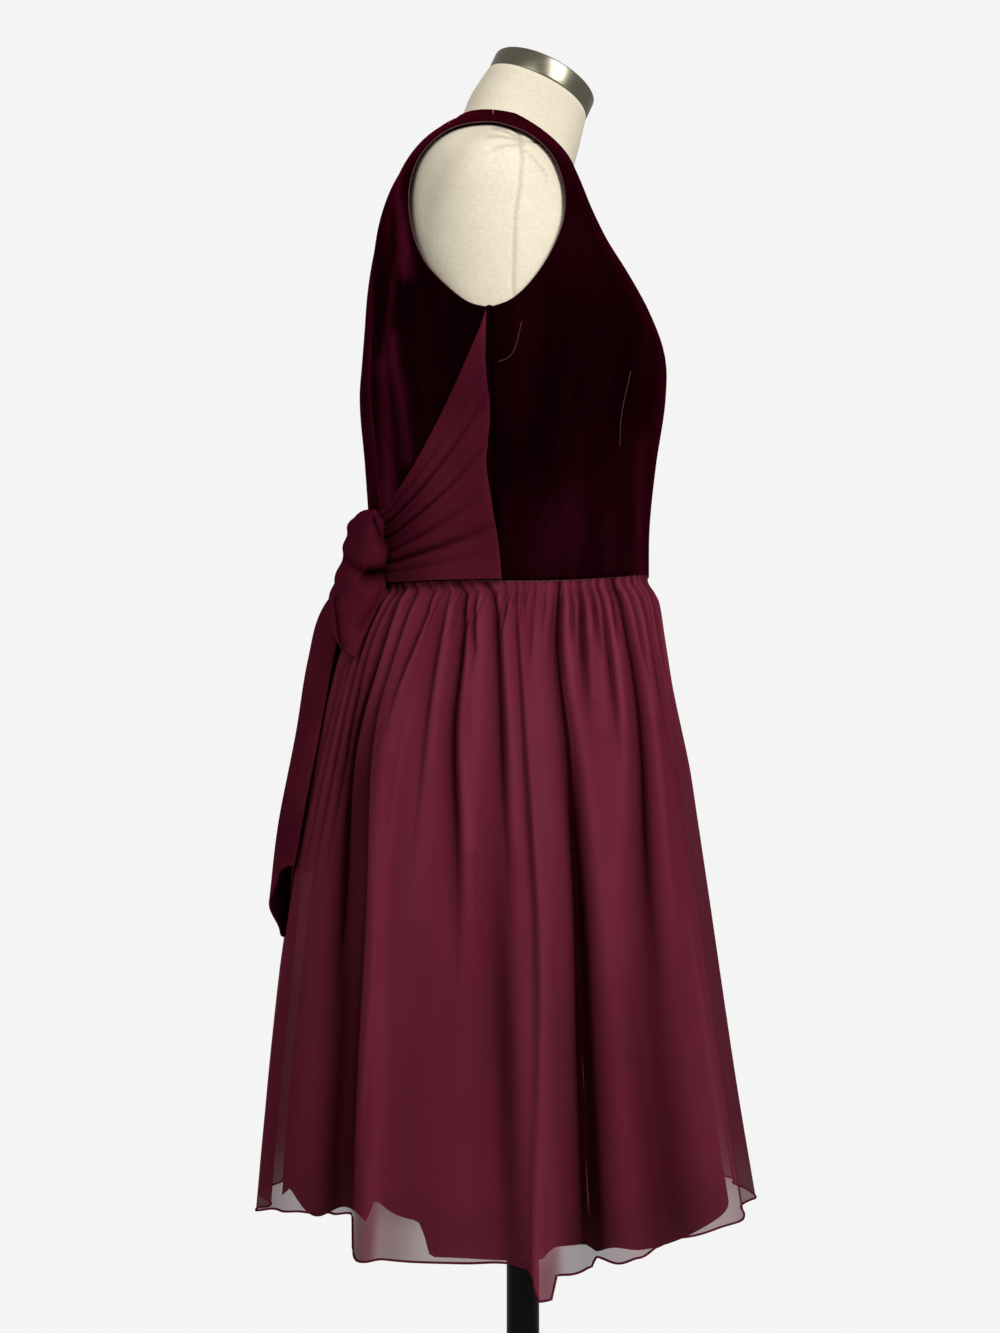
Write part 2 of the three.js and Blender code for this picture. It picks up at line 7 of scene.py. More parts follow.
import bmesh
import bpy
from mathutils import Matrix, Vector


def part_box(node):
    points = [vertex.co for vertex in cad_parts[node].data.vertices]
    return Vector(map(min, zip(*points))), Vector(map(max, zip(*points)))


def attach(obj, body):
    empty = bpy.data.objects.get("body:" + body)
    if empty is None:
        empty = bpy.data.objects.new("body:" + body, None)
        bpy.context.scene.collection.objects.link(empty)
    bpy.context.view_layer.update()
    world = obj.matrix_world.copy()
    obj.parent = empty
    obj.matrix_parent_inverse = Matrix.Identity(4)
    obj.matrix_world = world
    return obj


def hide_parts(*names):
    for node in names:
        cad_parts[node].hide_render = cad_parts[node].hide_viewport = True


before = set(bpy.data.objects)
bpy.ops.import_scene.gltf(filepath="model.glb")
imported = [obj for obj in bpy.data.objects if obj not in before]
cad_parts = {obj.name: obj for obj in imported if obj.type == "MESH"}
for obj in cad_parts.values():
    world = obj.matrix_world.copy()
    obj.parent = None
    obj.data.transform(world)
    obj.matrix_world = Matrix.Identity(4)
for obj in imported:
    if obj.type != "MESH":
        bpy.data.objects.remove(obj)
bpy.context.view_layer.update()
print("frame loaded")

mm = 0.001
poleLow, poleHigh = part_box("form_pole")
pole = Vector(((poleLow[0] + poleHigh[0]) / 2, (poleLow[1] + poleHigh[1]) / 2, 0))


# tables and curves

def smoothTable(rows, key):
    # every column of the rows as a smooth function of the first one
    stops = [row[key] for row in rows]
    names = [name for name in rows[0] if name != key]

    @functools.lru_cache(maxsize=None)
    def at(value):
        value = min(max(value, stops[0]), stops[-1])
        k = min(max(bisect.bisect_right(stops, value), 1), len(stops) - 1)
        start, end = stops[k - 1], stops[k]
        p = (value - start) / (end - start)
        before = k - 2 if k > 1 else k
        after = k + 1 if k + 1 < len(stops) else k - 1
        pull = (end - start) / 2 / (start - stops[before])
        push = (end - start) / 2 / (stops[after] - end)
        weights = (
            (before, -pull * p**3 + 2 * pull * p**2 - pull * p),
            (k - 1, (1 + pull) * p**3 - (1.5 + 2 * pull) * p**2 + (pull - 0.5) * p + 1),
            (k, (1.5 + push) * p**2 - (1 + push) * p**3 + 0.5 * p),
            (after, push * p**3 - push * p**2),
        )
        return SimpleNamespace(**{n: sum(rows[i][n] * w for i, w in weights) for n in names})

    return at


def smoothStep(value, start, end):
    t = min(max((value - start) / (end - start), 0), 1)
    return t * t * (3 - 2 * t)


def pathCurve(pairs):
    # a value that wanders smoothly with the fall, from pairs of fall and value
    if len(pairs) == 1:
        return lambda fall: pairs[0][1]
    curve = smoothTable([dict(fall=fall, value=value) for fall, value in pairs], "fall")
    return lambda fall: curve(fall).value


def turned(angle, centre):
    # how many degrees an angle lies past a centre, between -180 and 180
    return (math.degrees(angle) - centre + 540) % 360 - 180


# the dress form's rings, the same as the solids'

formRings = [
    dict(height=780, halfWidth=168, front=-112, back=122, dip=0, rise=0, ease=2.4, hang=32),
    dict(height=830, halfWidth=172, front=-114, back=124, dip=0, rise=0, ease=2.4, hang=32),
    dict(height=880, halfWidth=163, front=-114, back=118, dip=0, rise=0, ease=2.4, hang=32),
    dict(height=930, halfWidth=142, front=-111, back=106, dip=0, rise=0, ease=2.4, hang=32),
    dict(height=960, halfWidth=127, front=-108, back=98, dip=0, rise=0, ease=2.4, hang=32),
    dict(height=985, halfWidth=119, front=-106, back=93, dip=0, rise=0, ease=2.4, hang=33),
    dict(height=1012, halfWidth=118, front=-106, back=93, dip=0, rise=0, ease=2.4, hang=33),
    dict(height=1055, halfWidth=124, front=-107, back=95, dip=0, rise=0, ease=2.4, hang=33),
    dict(height=1110, halfWidth=137, front=-113, back=102, dip=0, rise=0, ease=2.4, hang=30),
    dict(height=1170, halfWidth=151, front=-122, back=112, dip=0, rise=0, ease=2.4, hang=25),
    dict(height=1200, halfWidth=155, front=-122, back=115, dip=0, rise=0, ease=2.4, hang=20),
    dict(height=1230, halfWidth=157, front=-111, back=116, dip=0, rise=0, ease=3.3, hang=16),
    dict(height=1260, halfWidth=159, front=-95, back=117, dip=0, rise=0, ease=3.3, hang=13),
    dict(height=1290, halfWidth=162, front=-76, back=116, dip=0, rise=0, ease=3.3, hang=10),
    dict(height=1320, halfWidth=165, front=-62, back=113, dip=0.02, rise=0, ease=3.1, hang=7),
    dict(height=1345, halfWidth=159, front=-54, back=108, dip=0.07, rise=0.02, ease=2.9, hang=3),
    dict(height=1366, halfWidth=135, front=-50, back=98, dip=0.17, rise=0.07, ease=2.7, hang=0),
    dict(height=1387, halfWidth=99, front=-47, back=80, dip=0.32, rise=0.15, ease=2.2, hang=0),
    dict(height=1408, halfWidth=62, front=-46, back=58, dip=0.49, rise=0.25, ease=1.8, hang=0),
    dict(height=1430, halfWidth=53, front=-52, back=46.5, dip=0.47, rise=0.37, ease=1.1, hang=0),
    dict(height=1453, halfWidth=49, front=-58, back=31, dip=0.46, rise=0.46, ease=1.1, hang=0),
]
formShape = smoothTable(formRings, "height")
formFullness = 2.2


def ringPoint(ring, middle, fullness, angle):
    depth = ring.back - middle if math.sin(angle) > 0 else middle - ring.front
    across = abs(math.cos(angle) / ring.halfWidth) ** fullness
    along = abs(math.sin(angle) / depth) ** fullness
    radius = (across + along) ** (-1 / fullness)
    return radius * math.cos(angle), middle + radius * math.sin(angle)


def formPoint(angle, height):
    ring = formShape(height)
    middle = (ring.front + ring.back) / 2
    x, y = ringPoint(ring, middle, formFullness, angle)
    slope = ring.rise if y > middle else ring.dip
    return Vector((x, y, height + slope * (y - middle)))


def raised(surface, a, b, lift):
    # a surface's point moved out along its normal
    step = 0.01
    around = surface(a + step, b) - surface(a - step, b)
    up = surface(a, b + step) - surface(a, b - step)
    return surface(a, b) + around.cross(up).normalized() * lift


def angleAtDepth(height, y):
    # where a ring passes a given y, on the wearer's left
    ring = formShape(height)
    middle = (ring.front + ring.back) / 2
    share = min(1, abs(y - middle) / ((ring.back - ring.front) / 2))
    x = ring.halfWidth * (1 - share**formFullness) ** (1 / formFullness)
    return math.atan2(y - middle, x)


# mesh helpers

def toObject(name, bm, finish):
    mesh = bpy.data.meshes.new(name)
    for vert in bm.verts:
        vert.co = vert.co * mm + pole
    bm.to_mesh(mesh)
    bm.free()
    for face in mesh.polygons:
        face.use_smooth = True
    piece = bpy.data.objects.new(name, mesh)
    bpy.context.scene.collection.objects.link(piece)
    mesh.materials.append(finish)
    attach(piece, "root")
    return piece


def gridBmesh(columns, rows, place, close=False, **marks):
    # a flat grid whose points are moved to place(u, v), both from 0 to 1; marks are kept on the points
    bm = bmesh.new()
    bm.loops.layers.uv.new("cut")
    bmesh.ops.create_grid(bm, x_segments=columns, y_segments=rows, size=0.5, calc_uvs=True)
    layers = [(bm.verts.layers.float.new(name), mark) for name, mark in marks.items()]
    for vert in bm.verts:
        u, v = vert.co.x + 0.5, vert.co.y + 0.5
        vert.co = place(u, v)
        for layer, mark in layers:
            vert[layer] = mark(u, v)
    if close:
        bmesh.ops.remove_doubles(bm, verts=bm.verts, dist=0.01)
    return bm


def thicken(piece, thickness, offset=-1):
    wall = piece.modifiers.new("wall", "SOLIDIFY")
    wall.thickness = thickness * mm
    wall.offset = offset


def tubeBmesh(path, radius, closed=False):
    # a thin six-sided cord along points in mm
    sides = 6
    count = len(path)

    def place(u, v):
        along = u * (count if closed else count - 1)
        k = int(round(along)) % count if closed else int(round(along))
        here = path[k]
        ahead = path[(k + 1) % count] if closed else path[min(k + 1, count - 1)]
        behind = path[k - 1] if closed else path[max(k - 1, 0)]
        run = (ahead - behind).normalized()
        side = run.cross(Vector((0.3, 0.2, 1))).normalized()
        lift = side.cross(run)
        turn = 2 * math.pi * v
        return here + (side * math.cos(turn) + lift * math.sin(turn)) * radius

    bm = gridBmesh(count if closed else count - 1, sides, place, close=True)
    bmesh.ops.holes_fill(bm, edges=[e for e in bm.edges if e.is_boundary], sides=0)
    return bm


# finishes

class Wire:
    # an output socket, so that shader maths reads as a sum

    def __init__(self, finish, socket):
        self.finish = finish
        self.socket = socket

    def maths(self, operation, other):
        return self.finish.node("ShaderNodeMath", {"operation": operation}, {0: self, 1: other})

    def __add__(self, other):
        return self.maths("ADD", other)

    __radd__ = __add__

    def __mul__(self, other):
        return self.maths("MULTIPLY", other)

    __rmul__ = __mul__


class Finish:

    def __init__(self, name, **settings):
        self.material = bpy.data.materials.new(name)
        self.material.use_nodes = True
        self.tree = self.material.node_tree
        self.tree.nodes.clear()
        self.shader = self.node("ShaderNodeBsdfPrincipled", {}, settings)
        self.node("ShaderNodeOutputMaterial", {}, {"Surface": self.shader})

    def node(self, kind, settings, inputs, output=0):
        made = self.tree.nodes.new(kind)
        for key, value in settings.items():
            if key == "stops":
                ramp = made.color_ramp.elements
                while len(ramp) < len(value):
                    ramp.new(0.5)
                for stop, (place, colour) in zip(ramp, value):
                    stop.position = place
                    stop.color = (*colour, 1)
            else:
                setattr(made, key, value)
        for key, value in inputs.items():
            self.feed(made, key, value)
        if not made.outputs:
            return made
        return Wire(self, made.outputs[output])

    def feed(self, made, key, value):
        if isinstance(value, Wire):
            self.tree.links.new(value.socket, made.inputs[key])
        else:
            made.inputs[key].default_value = value

    def set(self, **links):
        for key, value in links.items():
            self.feed(self.shader.socket.node, key.replace("_", " "), value)

    def mark(self, name):
        # a value kept on the piece's own points
        found = self.node("ShaderNodeAttribute", {"attribute_name": name}, {})
        return Wire(self, found.socket.node.outputs["Fac"])

    def place(self, scale=(1, 1, 1), source="Object"):
        spot = self.node("ShaderNodeTexCoord", {}, {})
        spot = Wire(self, spot.socket.node.outputs[source])
        return self.node("ShaderNodeMapping", {}, {"Vector": spot, "Scale": scale})

    def noise(self, where, scale, detail=3.0, roughness=0.5):
        inputs = {"Vector": where, "Scale": scale, "Detail": detail, "Roughness": roughness}
        return self.node("ShaderNodeTexNoise", {}, inputs)

    def ramp(self, value, *stops):
        return self.node("ShaderNodeValToRGB", {"stops": stops}, {"Fac": value})

    def blend(self, factor, first, second):
        # 6, 7 and 2 are the mix node's colour sockets
        return self.node("ShaderNodeMix", {"data_type": "RGBA"}, {0: factor, 6: first, 7: second}, output=2)

    def bump(self, height, strength, distance):
        inputs = {"Height": height, "Strength": strength, "Distance": distance}
        return self.node("ShaderNodeBump", {}, inputs)


def velvetFinish():
    settings = dict(
        dark=(0.0030, 0.0002, 0.0006, 1),
        lit=(0.0085, 0.0005, 0.0016, 1),
        paintedSheenColour=(0.085, 0.0055, 0.020, 1),  # painted sheen, where the velvet's folds catch the light
    )
    finish = Finish(
        "velvet",
        **{
            "Roughness": 1.0,
            "Specular IOR Level": 0.0,
            "Sheen Weight": 0.11,
            "Sheen Roughness": 0.3,
            "Sheen Tint": (0.75, 0.02, 0.12, 1),
        },
    )
    drift = finish.noise(finish.place((20, 20, 5)), 1.0, 4.0, 0.6)
    pile = finish.noise(finish.place(), 1500.0, 2.0)
    worn = finish.ramp(drift + pile * 0.15, (0.5, (0, 0, 0)), (0.78, (1, 1, 1)))
    ground = finish.blend(worn, settings["dark"], settings["lit"])
    patches = finish.ramp(drift, (0.4, (0, 0, 0)), (0.62, (1, 1, 1)))
    # painted sheen: streaks of light kept on the points, mottled by noise
    nap = finish.mark("nap") * (0.5 + patches * 0.9)
    finish.set(Base_Color=finish.blend(nap, ground, settings["paintedSheenColour"]))
    finish.set(Normal=finish.bump(pile + drift * 2.0, 0.3, 0.0006))
    return finish.material


def chiffonFinish():
    settings = dict(
        deep=(0.096, 0.0105, 0.022, 1),
        pale=(0.136, 0.0175, 0.035, 1),
        bright=(0.165, 0.024, 0.045, 1),  # painted highlight on a ridge
        shade=(0.012, 0.0008, 0.0026, 1),  # painted shade down in a fold
    )
    finish = Finish("chiffon", **{"Roughness": 1.0, "Specular IOR Level": 0.0})
    drift = finish.noise(finish.place((9, 9, 1.5)), 1.0, 3.0)
    crinkle = finish.noise(finish.place((1, 1, 0.35)), 1400.0, 2.0)
    mix = finish.ramp(drift + crinkle * 0.2, (0.45, (0, 0, 0)), (0.75, (1, 1, 1)))
    cloth = finish.blend(mix, settings["deep"], settings["pale"])
    # painted highlight where the points' mark is below 0.2, painted shade above it
    ridge = finish.ramp(finish.mark("fold"), (0.0, (1, 1, 1)), (0.2, (0, 0, 0)))
    hollow = finish.ramp(finish.mark("fold"), (0.2, (0, 0, 0)), (1.0, (1, 1, 1)))
    cloth = finish.blend(ridge, cloth, settings["bright"])
    finish.set(Base_Color=finish.blend(hollow, cloth, settings["shade"]))
    finish.set(Alpha=finish.mark("cover"))
    finish.set(Normal=finish.bump(crinkle, 0.25, 0.0003))
    return finish.material


def crepeFinish():
    settings = dict(
        deep=(0.056, 0.0045, 0.0125, 1),
        pale=(0.083, 0.0085, 0.0195, 1),
        shade=(0.012, 0.0008, 0.0026, 1),
    )
    finish = Finish("crepe", **{"Roughness": 1.0, "Specular IOR Level": 0.0})
    drift = finish.noise(finish.place((12, 12, 12)), 1.0, 3.0)
    grain = finish.noise(finish.place(), 1300.0, 2.0)
    mix = finish.ramp(drift + grain * 0.25, (0.45, (0, 0, 0)), (0.8, (1, 1, 1)))
    cloth = finish.blend(mix, settings["deep"], settings["pale"])
    # painted shade: the points' mark blends the crepe towards its shade colour
    finish.set(Base_Color=finish.blend(finish.mark("fold"), cloth, settings["shade"]))
    finish.set(Normal=finish.bump(grain, 0.3, 0.0004))
    return finish.material


def liningFinish():
    finish = Finish("lining", **{"Roughness": 0.8, "Specular IOR Level": 0.1})
    drift = finish.noise(finish.place((8, 8, 2)), 1.0, 2.0)
    thread = finish.noise(finish.place((1, 1, 0.2)), 1800.0, 1.0)
    finish.set(Base_Color=finish.blend(drift, (0.060, 0.013, 0.018, 1), (0.078, 0.018, 0.024, 1)))
    finish.set(Normal=finish.bump(thread, 0.2, 0.0003))
    return finish.material


def linenFinish():
    settings = dict(pale=(0.80, 0.735, 0.59, 1), deep=(0.68, 0.605, 0.465, 1), thread=0.0009)
    finish = Finish("linen", **{"Roughness": 0.95, "Specular IOR Level": 0.1})
    pitch = 1 / settings["thread"]
    spot = finish.place()
    upright = finish.noise(finish.place((1, 1, 0.12)), pitch, 1.0)
    level = finish.noise(finish.place((0.15, 0.15, 1)), pitch, 1.0)
    slub = finish.noise(spot, 300.0, 2.0)
    stain = finish.noise(spot, 9.0, 3.0)
    weave = upright * 0.5 + level * 0.5
    shade = finish.ramp(weave * 0.55 + slub * 0.25 + stain * 0.2, (0.38, (1, 1, 1)), (0.66, (0, 0, 0)))
    cloth = finish.blend(shade, settings["pale"], settings["deep"])
    # painted shade and shadow: the points' mark blends the linen towards a shadow brown
    finish.set(Base_Color=finish.blend(finish.mark("fold"), cloth, (0.30, 0.22, 0.17, 1)))
    finish.set(Normal=finish.bump(weave + slub * 0.5, 0.3, 0.0004))
    return finish.material


def nickelFinish():
    finish = Finish("nickel", **{"Metallic": 1.0})
    brushing = finish.noise(finish.place((4, 4, 900)), 1.0, 3.0)
    finish.set(Base_Color=finish.blend(brushing, (0.205, 0.19, 0.138, 1), (0.30, 0.283, 0.218, 1)))
    finish.set(Roughness=brushing * 0.15 + 0.22)
    finish.set(Normal=finish.bump(brushing, 0.1, 0.0002))
    return finish.material


def blackFinish():
    finish = Finish("blackPaint", **{"Specular IOR Level": 0.14})
    dust = finish.noise(finish.place(), 60.0, 4.0)
    finish.set(Base_Color=finish.blend(dust, (0.0015, 0.0015, 0.002, 1), (0.003, 0.003, 0.0035, 1)))
    finish.set(Roughness=dust * 0.12 + 0.2)
    return finish.material


# the armhole facing's own colour, also used as a painted highlight on the darts and strap seams
def facingFinish():
    finish = Finish("facingAndSeamHighlight", **{"Roughness": 0.9, "Specular IOR Level": 0.1})
    grain = finish.noise(finish.place(), 900.0, 2.0)
    finish.set(Base_Color=finish.blend(grain, (0.06, 0.018, 0.022, 1), (0.12, 0.05, 0.052, 1)))
    return finish.material


velvet = velvetFinish()
chiffon = chiffonFinish()
crepe = crepeFinish()
satin = liningFinish()
linen = linenFinish()
nickel = nickelFinish()
blackPaint = blackFinish()
facingAndSeamHighlight = facingFinish()
print("finishes made")


# dress form

formSeam = dict(
    line=[(189.5, 1366), (189, 1327), (187, 1302), (184.3, 1284), (180.4, 1253), (177.2, 1223), (176, 1150)],
    depth=1.1,
    width=1.3,
)
formPinches = [  # short pulls that gather the cloth at the top of the seam
    dict(line=[(190, 1354), (184.5, 1363), (180, 1366)], depth=1.3, width=2.0),
    dict(line=[(190, 1350), (184, 1352), (179, 1350)], depth=1.2, width=2.0),
    dict(line=[(190, 1346), (185, 1341), (181, 1336)], depth=1.0, width=1.8),
    dict(line=[(190, 1357), (188, 1368), (185, 1378)], depth=1.0, width=1.8),
    dict(line=[(190, 1352), (195, 1359), (199, 1370)], depth=0.9, width=1.8),
    dict(line=[(189.5, 1340), (193, 1334), (197, 1322)], depth=0.8, width=1.8),
]
formShadows = [  # painted shadow and shade: along the back edge, before the seam and at the neck
    dict(line=[(180, 1366), (170, 1330), (160.8, 1303), (153.5, 1269), (155, 1225)], width=11, dark=0.2),
    dict(line=[(195, 1250), (196, 1370)], width=22, dark=0.11),
    dict(line=[(200, 1415), (205, 1450)], width=22, dark=0.13),
]


lineReach = 3  # widths away from a line past which it no longer shows


def lineDistance(angle, height, line, radius):
    # mm from a point of a surface to a line given as pairs of angle and height
    nearest = 1e9
    for (a0, h0), (a1, h1) in zip(line, line[1:]):
        dx, dz = (turned(math.radians(a1), a0)) * radius, h1 - h0
        px, pz = turned(angle, a0) * radius, height - h0
        t = min(max((px * dx + pz * dz) / (dx * dx + dz * dz), 0), 1)
        nearest = min(nearest, math.hypot(px - t * dx, pz - t * dz))
    return nearest


@functools.lru_cache(maxsize=None)
def linenGroove(angle, height):
    # the same seams on both sides of the form
    if math.cos(angle) > 0:
        angle = math.pi - angle
    arc = math.radians(formShape(height).halfWidth)
    deep = 0
    for groove in [formSeam] + formPinches:
        away = lineDistance(angle, height, groove["line"], arc) / groove["width"]
        if away < lineReach:
            deep = max(deep, groove["depth"] * math.exp(-(away**2)))
    return deep


def linenTorso():
    # squeeze draws the columns together towards the sides
    settings = dict(columns=240, rows=200, squeeze=0.26, grooveDark=0.4)
    low, high = formRings[0]["height"], formRings[-1]["height"]

    def spot(u, v):
        angle = 2 * math.pi * u - settings["squeeze"] * math.sin(4 * math.pi * u)
        return angle, low + (high - low) * v

    def place(u, v):
        angle, height = spot(u, v)
        if 0 < v < 1:
            return raised(formPoint, angle, height, -linenGroove(angle, height))
        return formPoint(angle, height)

    # painted shade in the seam and pinch grooves, and painted shadow along formShadows
    def fold(u, v):
        angle, height = spot(u, v)
        arc = math.radians(formShape(height).halfWidth)
        linenPaintedShade = settings["grooveDark"] * linenGroove(angle, height)
        for shadow in formShadows:
            away = lineDistance(angle, height, shadow["line"], arc) / shadow["width"]
            linenPaintedShade += shadow["dark"] * math.exp(-(away**2))
        return linenPaintedShade

    bm = gridBmesh(settings["columns"], settings["rows"], place, close=True, fold=fold)
    rim = [e for e in bm.edges if e.is_boundary]
    bmesh.ops.holes_fill(bm, edges=rim, sides=0)
    torso = toObject("formTorso", bm, linen)
    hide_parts("form_torso")


def roundRim(bm, rim, width):
    bmesh.ops.bevel(bm, geom=rim, offset=width, segments=4, affect="EDGES", profile=0.5, material=-1)


def neckCap():
    settings = dict(radius=49, height=19, air=0.4, edge=1.6, sharp=40, steps=96)
    top = formShape(formRings[-1]["height"])
    bm = bmesh.new()
    radius, height, air = settings["radius"], settings["height"], settings["air"]
    verts = [bm.verts.new((r, 0, h)) for r, h in ((0, air), (radius, air), (radius, height), (0, height))]
    edges = [bm.edges.new(pair) for pair in zip(verts, verts[1:])]
    bmesh.ops.spin(
        bm,
        geom=verts + edges,
        cent=(0, 0, 0),
        axis=(0, 0, 1),
        angle=2 * math.pi,
        steps=settings["steps"],
        use_merge=True,
    )
    bmesh.ops.remove_doubles(bm, verts=bm.verts, dist=0.01)
    bmesh.ops.recalc_face_normals(bm, faces=bm.faces)
    # the two round edges, top and bottom
    rim = [e for e in bm.edges if all(v.co.xy.length > radius - 1 for v in e.verts)]
    rim = [e for e in rim if abs(e.verts[0].co.z - e.verts[1].co.z) < 0.1]
    roundRim(bm, rim, settings["edge"])
    tilt = math.atan(top.dip)
    for vert in bm.verts:
        y, z = vert.co.y, vert.co.z
        vert.co.y = (top.front + top.back) / 2 + y * math.cos(tilt) - z * math.sin(tilt)
        vert.co.z = formRings[-1]["height"] + y * math.sin(tilt) + z * math.cos(tilt)
    cap = toObject("neckCap", bm, nickel)
    cap.data.set_sharp_from_angle(angle=math.radians(settings["sharp"]))
    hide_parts("form_neck_cap")


def cylinderBmesh(radius, low, height, segments):
    bm = bmesh.new()
    bmesh.ops.create_cone(bm, cap_ends=True, segments=segments, radius1=radius, radius2=radius, depth=height)
    bmesh.ops.translate(bm, verts=bm.verts, vec=(0, 0, low + height / 2))
    return bm


def poleAndFoot():
    settings = dict(radius=13.5, low=10.5, length=769, foot=190, footHeight=10, footEdge=3, sharp=40)
    tubeMesh = cylinderBmesh(settings["radius"], settings["low"], settings["length"], 64)
    tube = toObject("standPole", tubeMesh, blackPaint)
    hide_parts("form_pole")
    bm = cylinderBmesh(settings["foot"], 0, settings["footHeight"], 128)
    rim = [e for e in bm.edges if all(v.co.z > settings["footHeight"] - 1 for v in e.verts)]
    roundRim(bm, rim, settings["footEdge"])
    foot = toObject("standFoot", bm, blackPaint)
    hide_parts("form_foot")
    for piece in (tube, foot):
        piece.data.set_sharp_from_angle(angle=math.radians(settings["sharp"]))



linenTorso()
neckCap()
poleAndFoot()
print("dress form and stand made")


# bodice

bodice = dict(
    wall=1.6,
    seamGap=0.35,
    neckline=1406,
    neckScoop=13,
    waistSide=990,
    waistFrontRise=23,
    waistBackRise=13,
    waistSeamDepth=17,
    seamDepth=25,
    rowsToUnderarm=6,
    rowsOverShoulder=4,
    rowsPerStep=5,
    columns=120,
    hangPower=1.4,  # how soon the loose back leaves the form
    foldTop=1395,
    foldFade=110,
    scoopPower=1.5,
    # the painted sheen's even level all over the velvet
    paintedSheenGround=0.02,
    paintedSheenFarSide=0.8,  # how strong the painted sheen streaks are on the wearer's left
    cuts=dict(front=(0.47, 0.44), back=(0.48, 0.43)),
    cutShare=0.86,  # what neck and armholes leave of the rectangle
)
armholeEdge = [
    dict(step=0, height=1206, front=25, back=25),
    dict(step=1, height=1212, front=9, back=40),
    dict(step=2, height=1228, front=-7, back=56),
    dict(step=3, height=1252, front=-21, back=73),
    dict(step=4, height=1282, front=-30, back=84),
    dict(step=5, height=1314, front=-30, back=88),
    dict(step=6, height=1338, front=-23, back=83),
    dict(step=7, height=1354, front=-12, back=69),
    dict(step=8, height=1362, front=-3, back=57),
    dict(step=9, height=1366, front=7, back=44),
    dict(step=10, height=1369, front=25, back=25),
]
armhole = smoothTable(armholeEdge, "step")
backFolds = [  # soft lengthwise folds of the loose back
    dict(angle=48, spread=6, depth=-2.2),
    dict(angle=57, spread=5, depth=3.2),
    dict(angle=68, spread=6, depth=-2.4),
    dict(angle=80, spread=7, depth=1.8),
    dict(angle=102, spread=8, depth=1.6),
    dict(angle=113, spread=6, depth=-2.8),
    dict(angle=123, spread=5, depth=3.6),
    dict(angle=133, spread=6, depth=-2.0),
]


def bodicePoint(angle, height):
    ring = formShape(height)
    backShare = max(0, math.sin(angle)) ** bodice["hangPower"]
    foldShare = smoothStep(bodice["foldTop"] - height, 0, bodice["foldFade"])
    folds = sum(f["depth"] * math.exp(-((turned(angle, f["angle"]) / f["spread"]) ** 2)) for f in backFolds)
    point = raised(formPoint, angle, height, ring.ease + bodice["wall"] + folds * foldShare * backShare)
    point.y += ring.hang * backShare
    return point


def edgeHeight(angle, side, frontRise, backRise):
    return side + (frontRise if math.sin(angle) < 0 else backRise) * math.sin(angle) ** 2


def waistHeight(angle):
    return edgeHeight(angle, bodice["waistSide"], bodice["waistFrontRise"], bodice["waistBackRise"])


def sideSeam(share):
    return bodice["waistSeamDepth"] + share * (bodice["seamDepth"] - bodice["waistSeamDepth"])


def bodiceSpot(side, u, row):
    # angle and height on a panel: row runs from the waist over the underarm to the neckline
    toUnderarm, last = bodice["rowsToUnderarm"], armholeEdge[-1]["step"]
    underarm, shoulder = armholeEdge[0]["height"], armholeEdge[-1]["height"]
    share = scoop = None
    if row < toUnderarm:
        share = row / toUnderarm
        level, y = bodice["waistSide"] + share * (underarm - bodice["waistSide"]), sideSeam(share)
    elif row <= toUnderarm + last:
        edge = armhole(row - toUnderarm)
        level, y = edge.height, getattr(edge, side)
    else:
        scoop = (row - toUnderarm - last) / bodice["rowsOverShoulder"]
        level, y = shoulder + scoop * (bodice["neckline"] - shoulder), bodice["seamDepth"]
    isFront = side == "front"
    edge = angleAtDepth(level, y + bodice["seamGap"] / 2 * (-1 if isFront else 1))
    start = math.pi - edge if isFront else edge
    end = 2 * math.pi + edge if isFront else math.pi - edge
    angle = start + u * (end - start)
    if share is not None:
        waist = waistHeight(angle)
        level = waist + share * (underarm - waist)
    if scoop is not None:
        level -= scoop * bodice["neckScoop"] * max(0, -math.sin(angle)) ** bodice["scoopPower"]
    return angle, level


paintedSheenStreaks = [  # painted sheen: streaks of light on the velvet's folds, as lines of angles and heights
    dict(line=[(146, 1250), (147.5, 1300), (142, 1340)], width=8, light=0.85),
    dict(line=[(149, 1290), (148.5, 1262)], width=4, light=0.5),
    dict(line=[(143, 1262), (135, 1232), (128, 1180)], width=6, light=0.32),
    dict(line=[(134.7, 1200), (138, 1148), (138, 1100)], width=7, light=0.6),
    dict(line=[(131, 1180), (129, 1118), (127, 1066)], width=9, light=0.6),
    dict(line=[(119, 1190), (117, 1120), (121, 1060)], width=10, light=0.15),
    dict(line=[(109, 1270), (112, 1180), (107, 1080)], width=12, light=0.17),
    dict(line=[(98, 1320), (93, 1230), (96, 1140)], width=14, light=0.14),
    dict(line=[(228, 1110), (233, 1060), (238, 1005)], width=12, light=0.14),
    dict(line=[(205, 1010), (190, 1030)], width=40, light=0.10),
    dict(line=[(262, 1330), (262, 1250), (258, 1170)], width=12, light=0.10),
]


# painted sheen at a point of the bodice: the even level and the streaks, on both sides
def paintedSheenAt(angle, height):
    arc = math.radians(formShape(height).halfWidth)
    light = bodice["paintedSheenGround"]
    for streak in paintedSheenStreaks:
        for side, share in ((angle, 1.0), (math.pi - angle, bodice["paintedSheenFarSide"])):
            away = lineDistance(side, height, streak["line"], arc) / streak["width"]
            if away < lineReach:
                light += streak["light"] * share * math.exp(-(away**2))
    return min(light, 1)


bodiceRows = bodice["rowsToUnderarm"] + armholeEdge[-1]["step"] + bodice["rowsOverShoulder"]


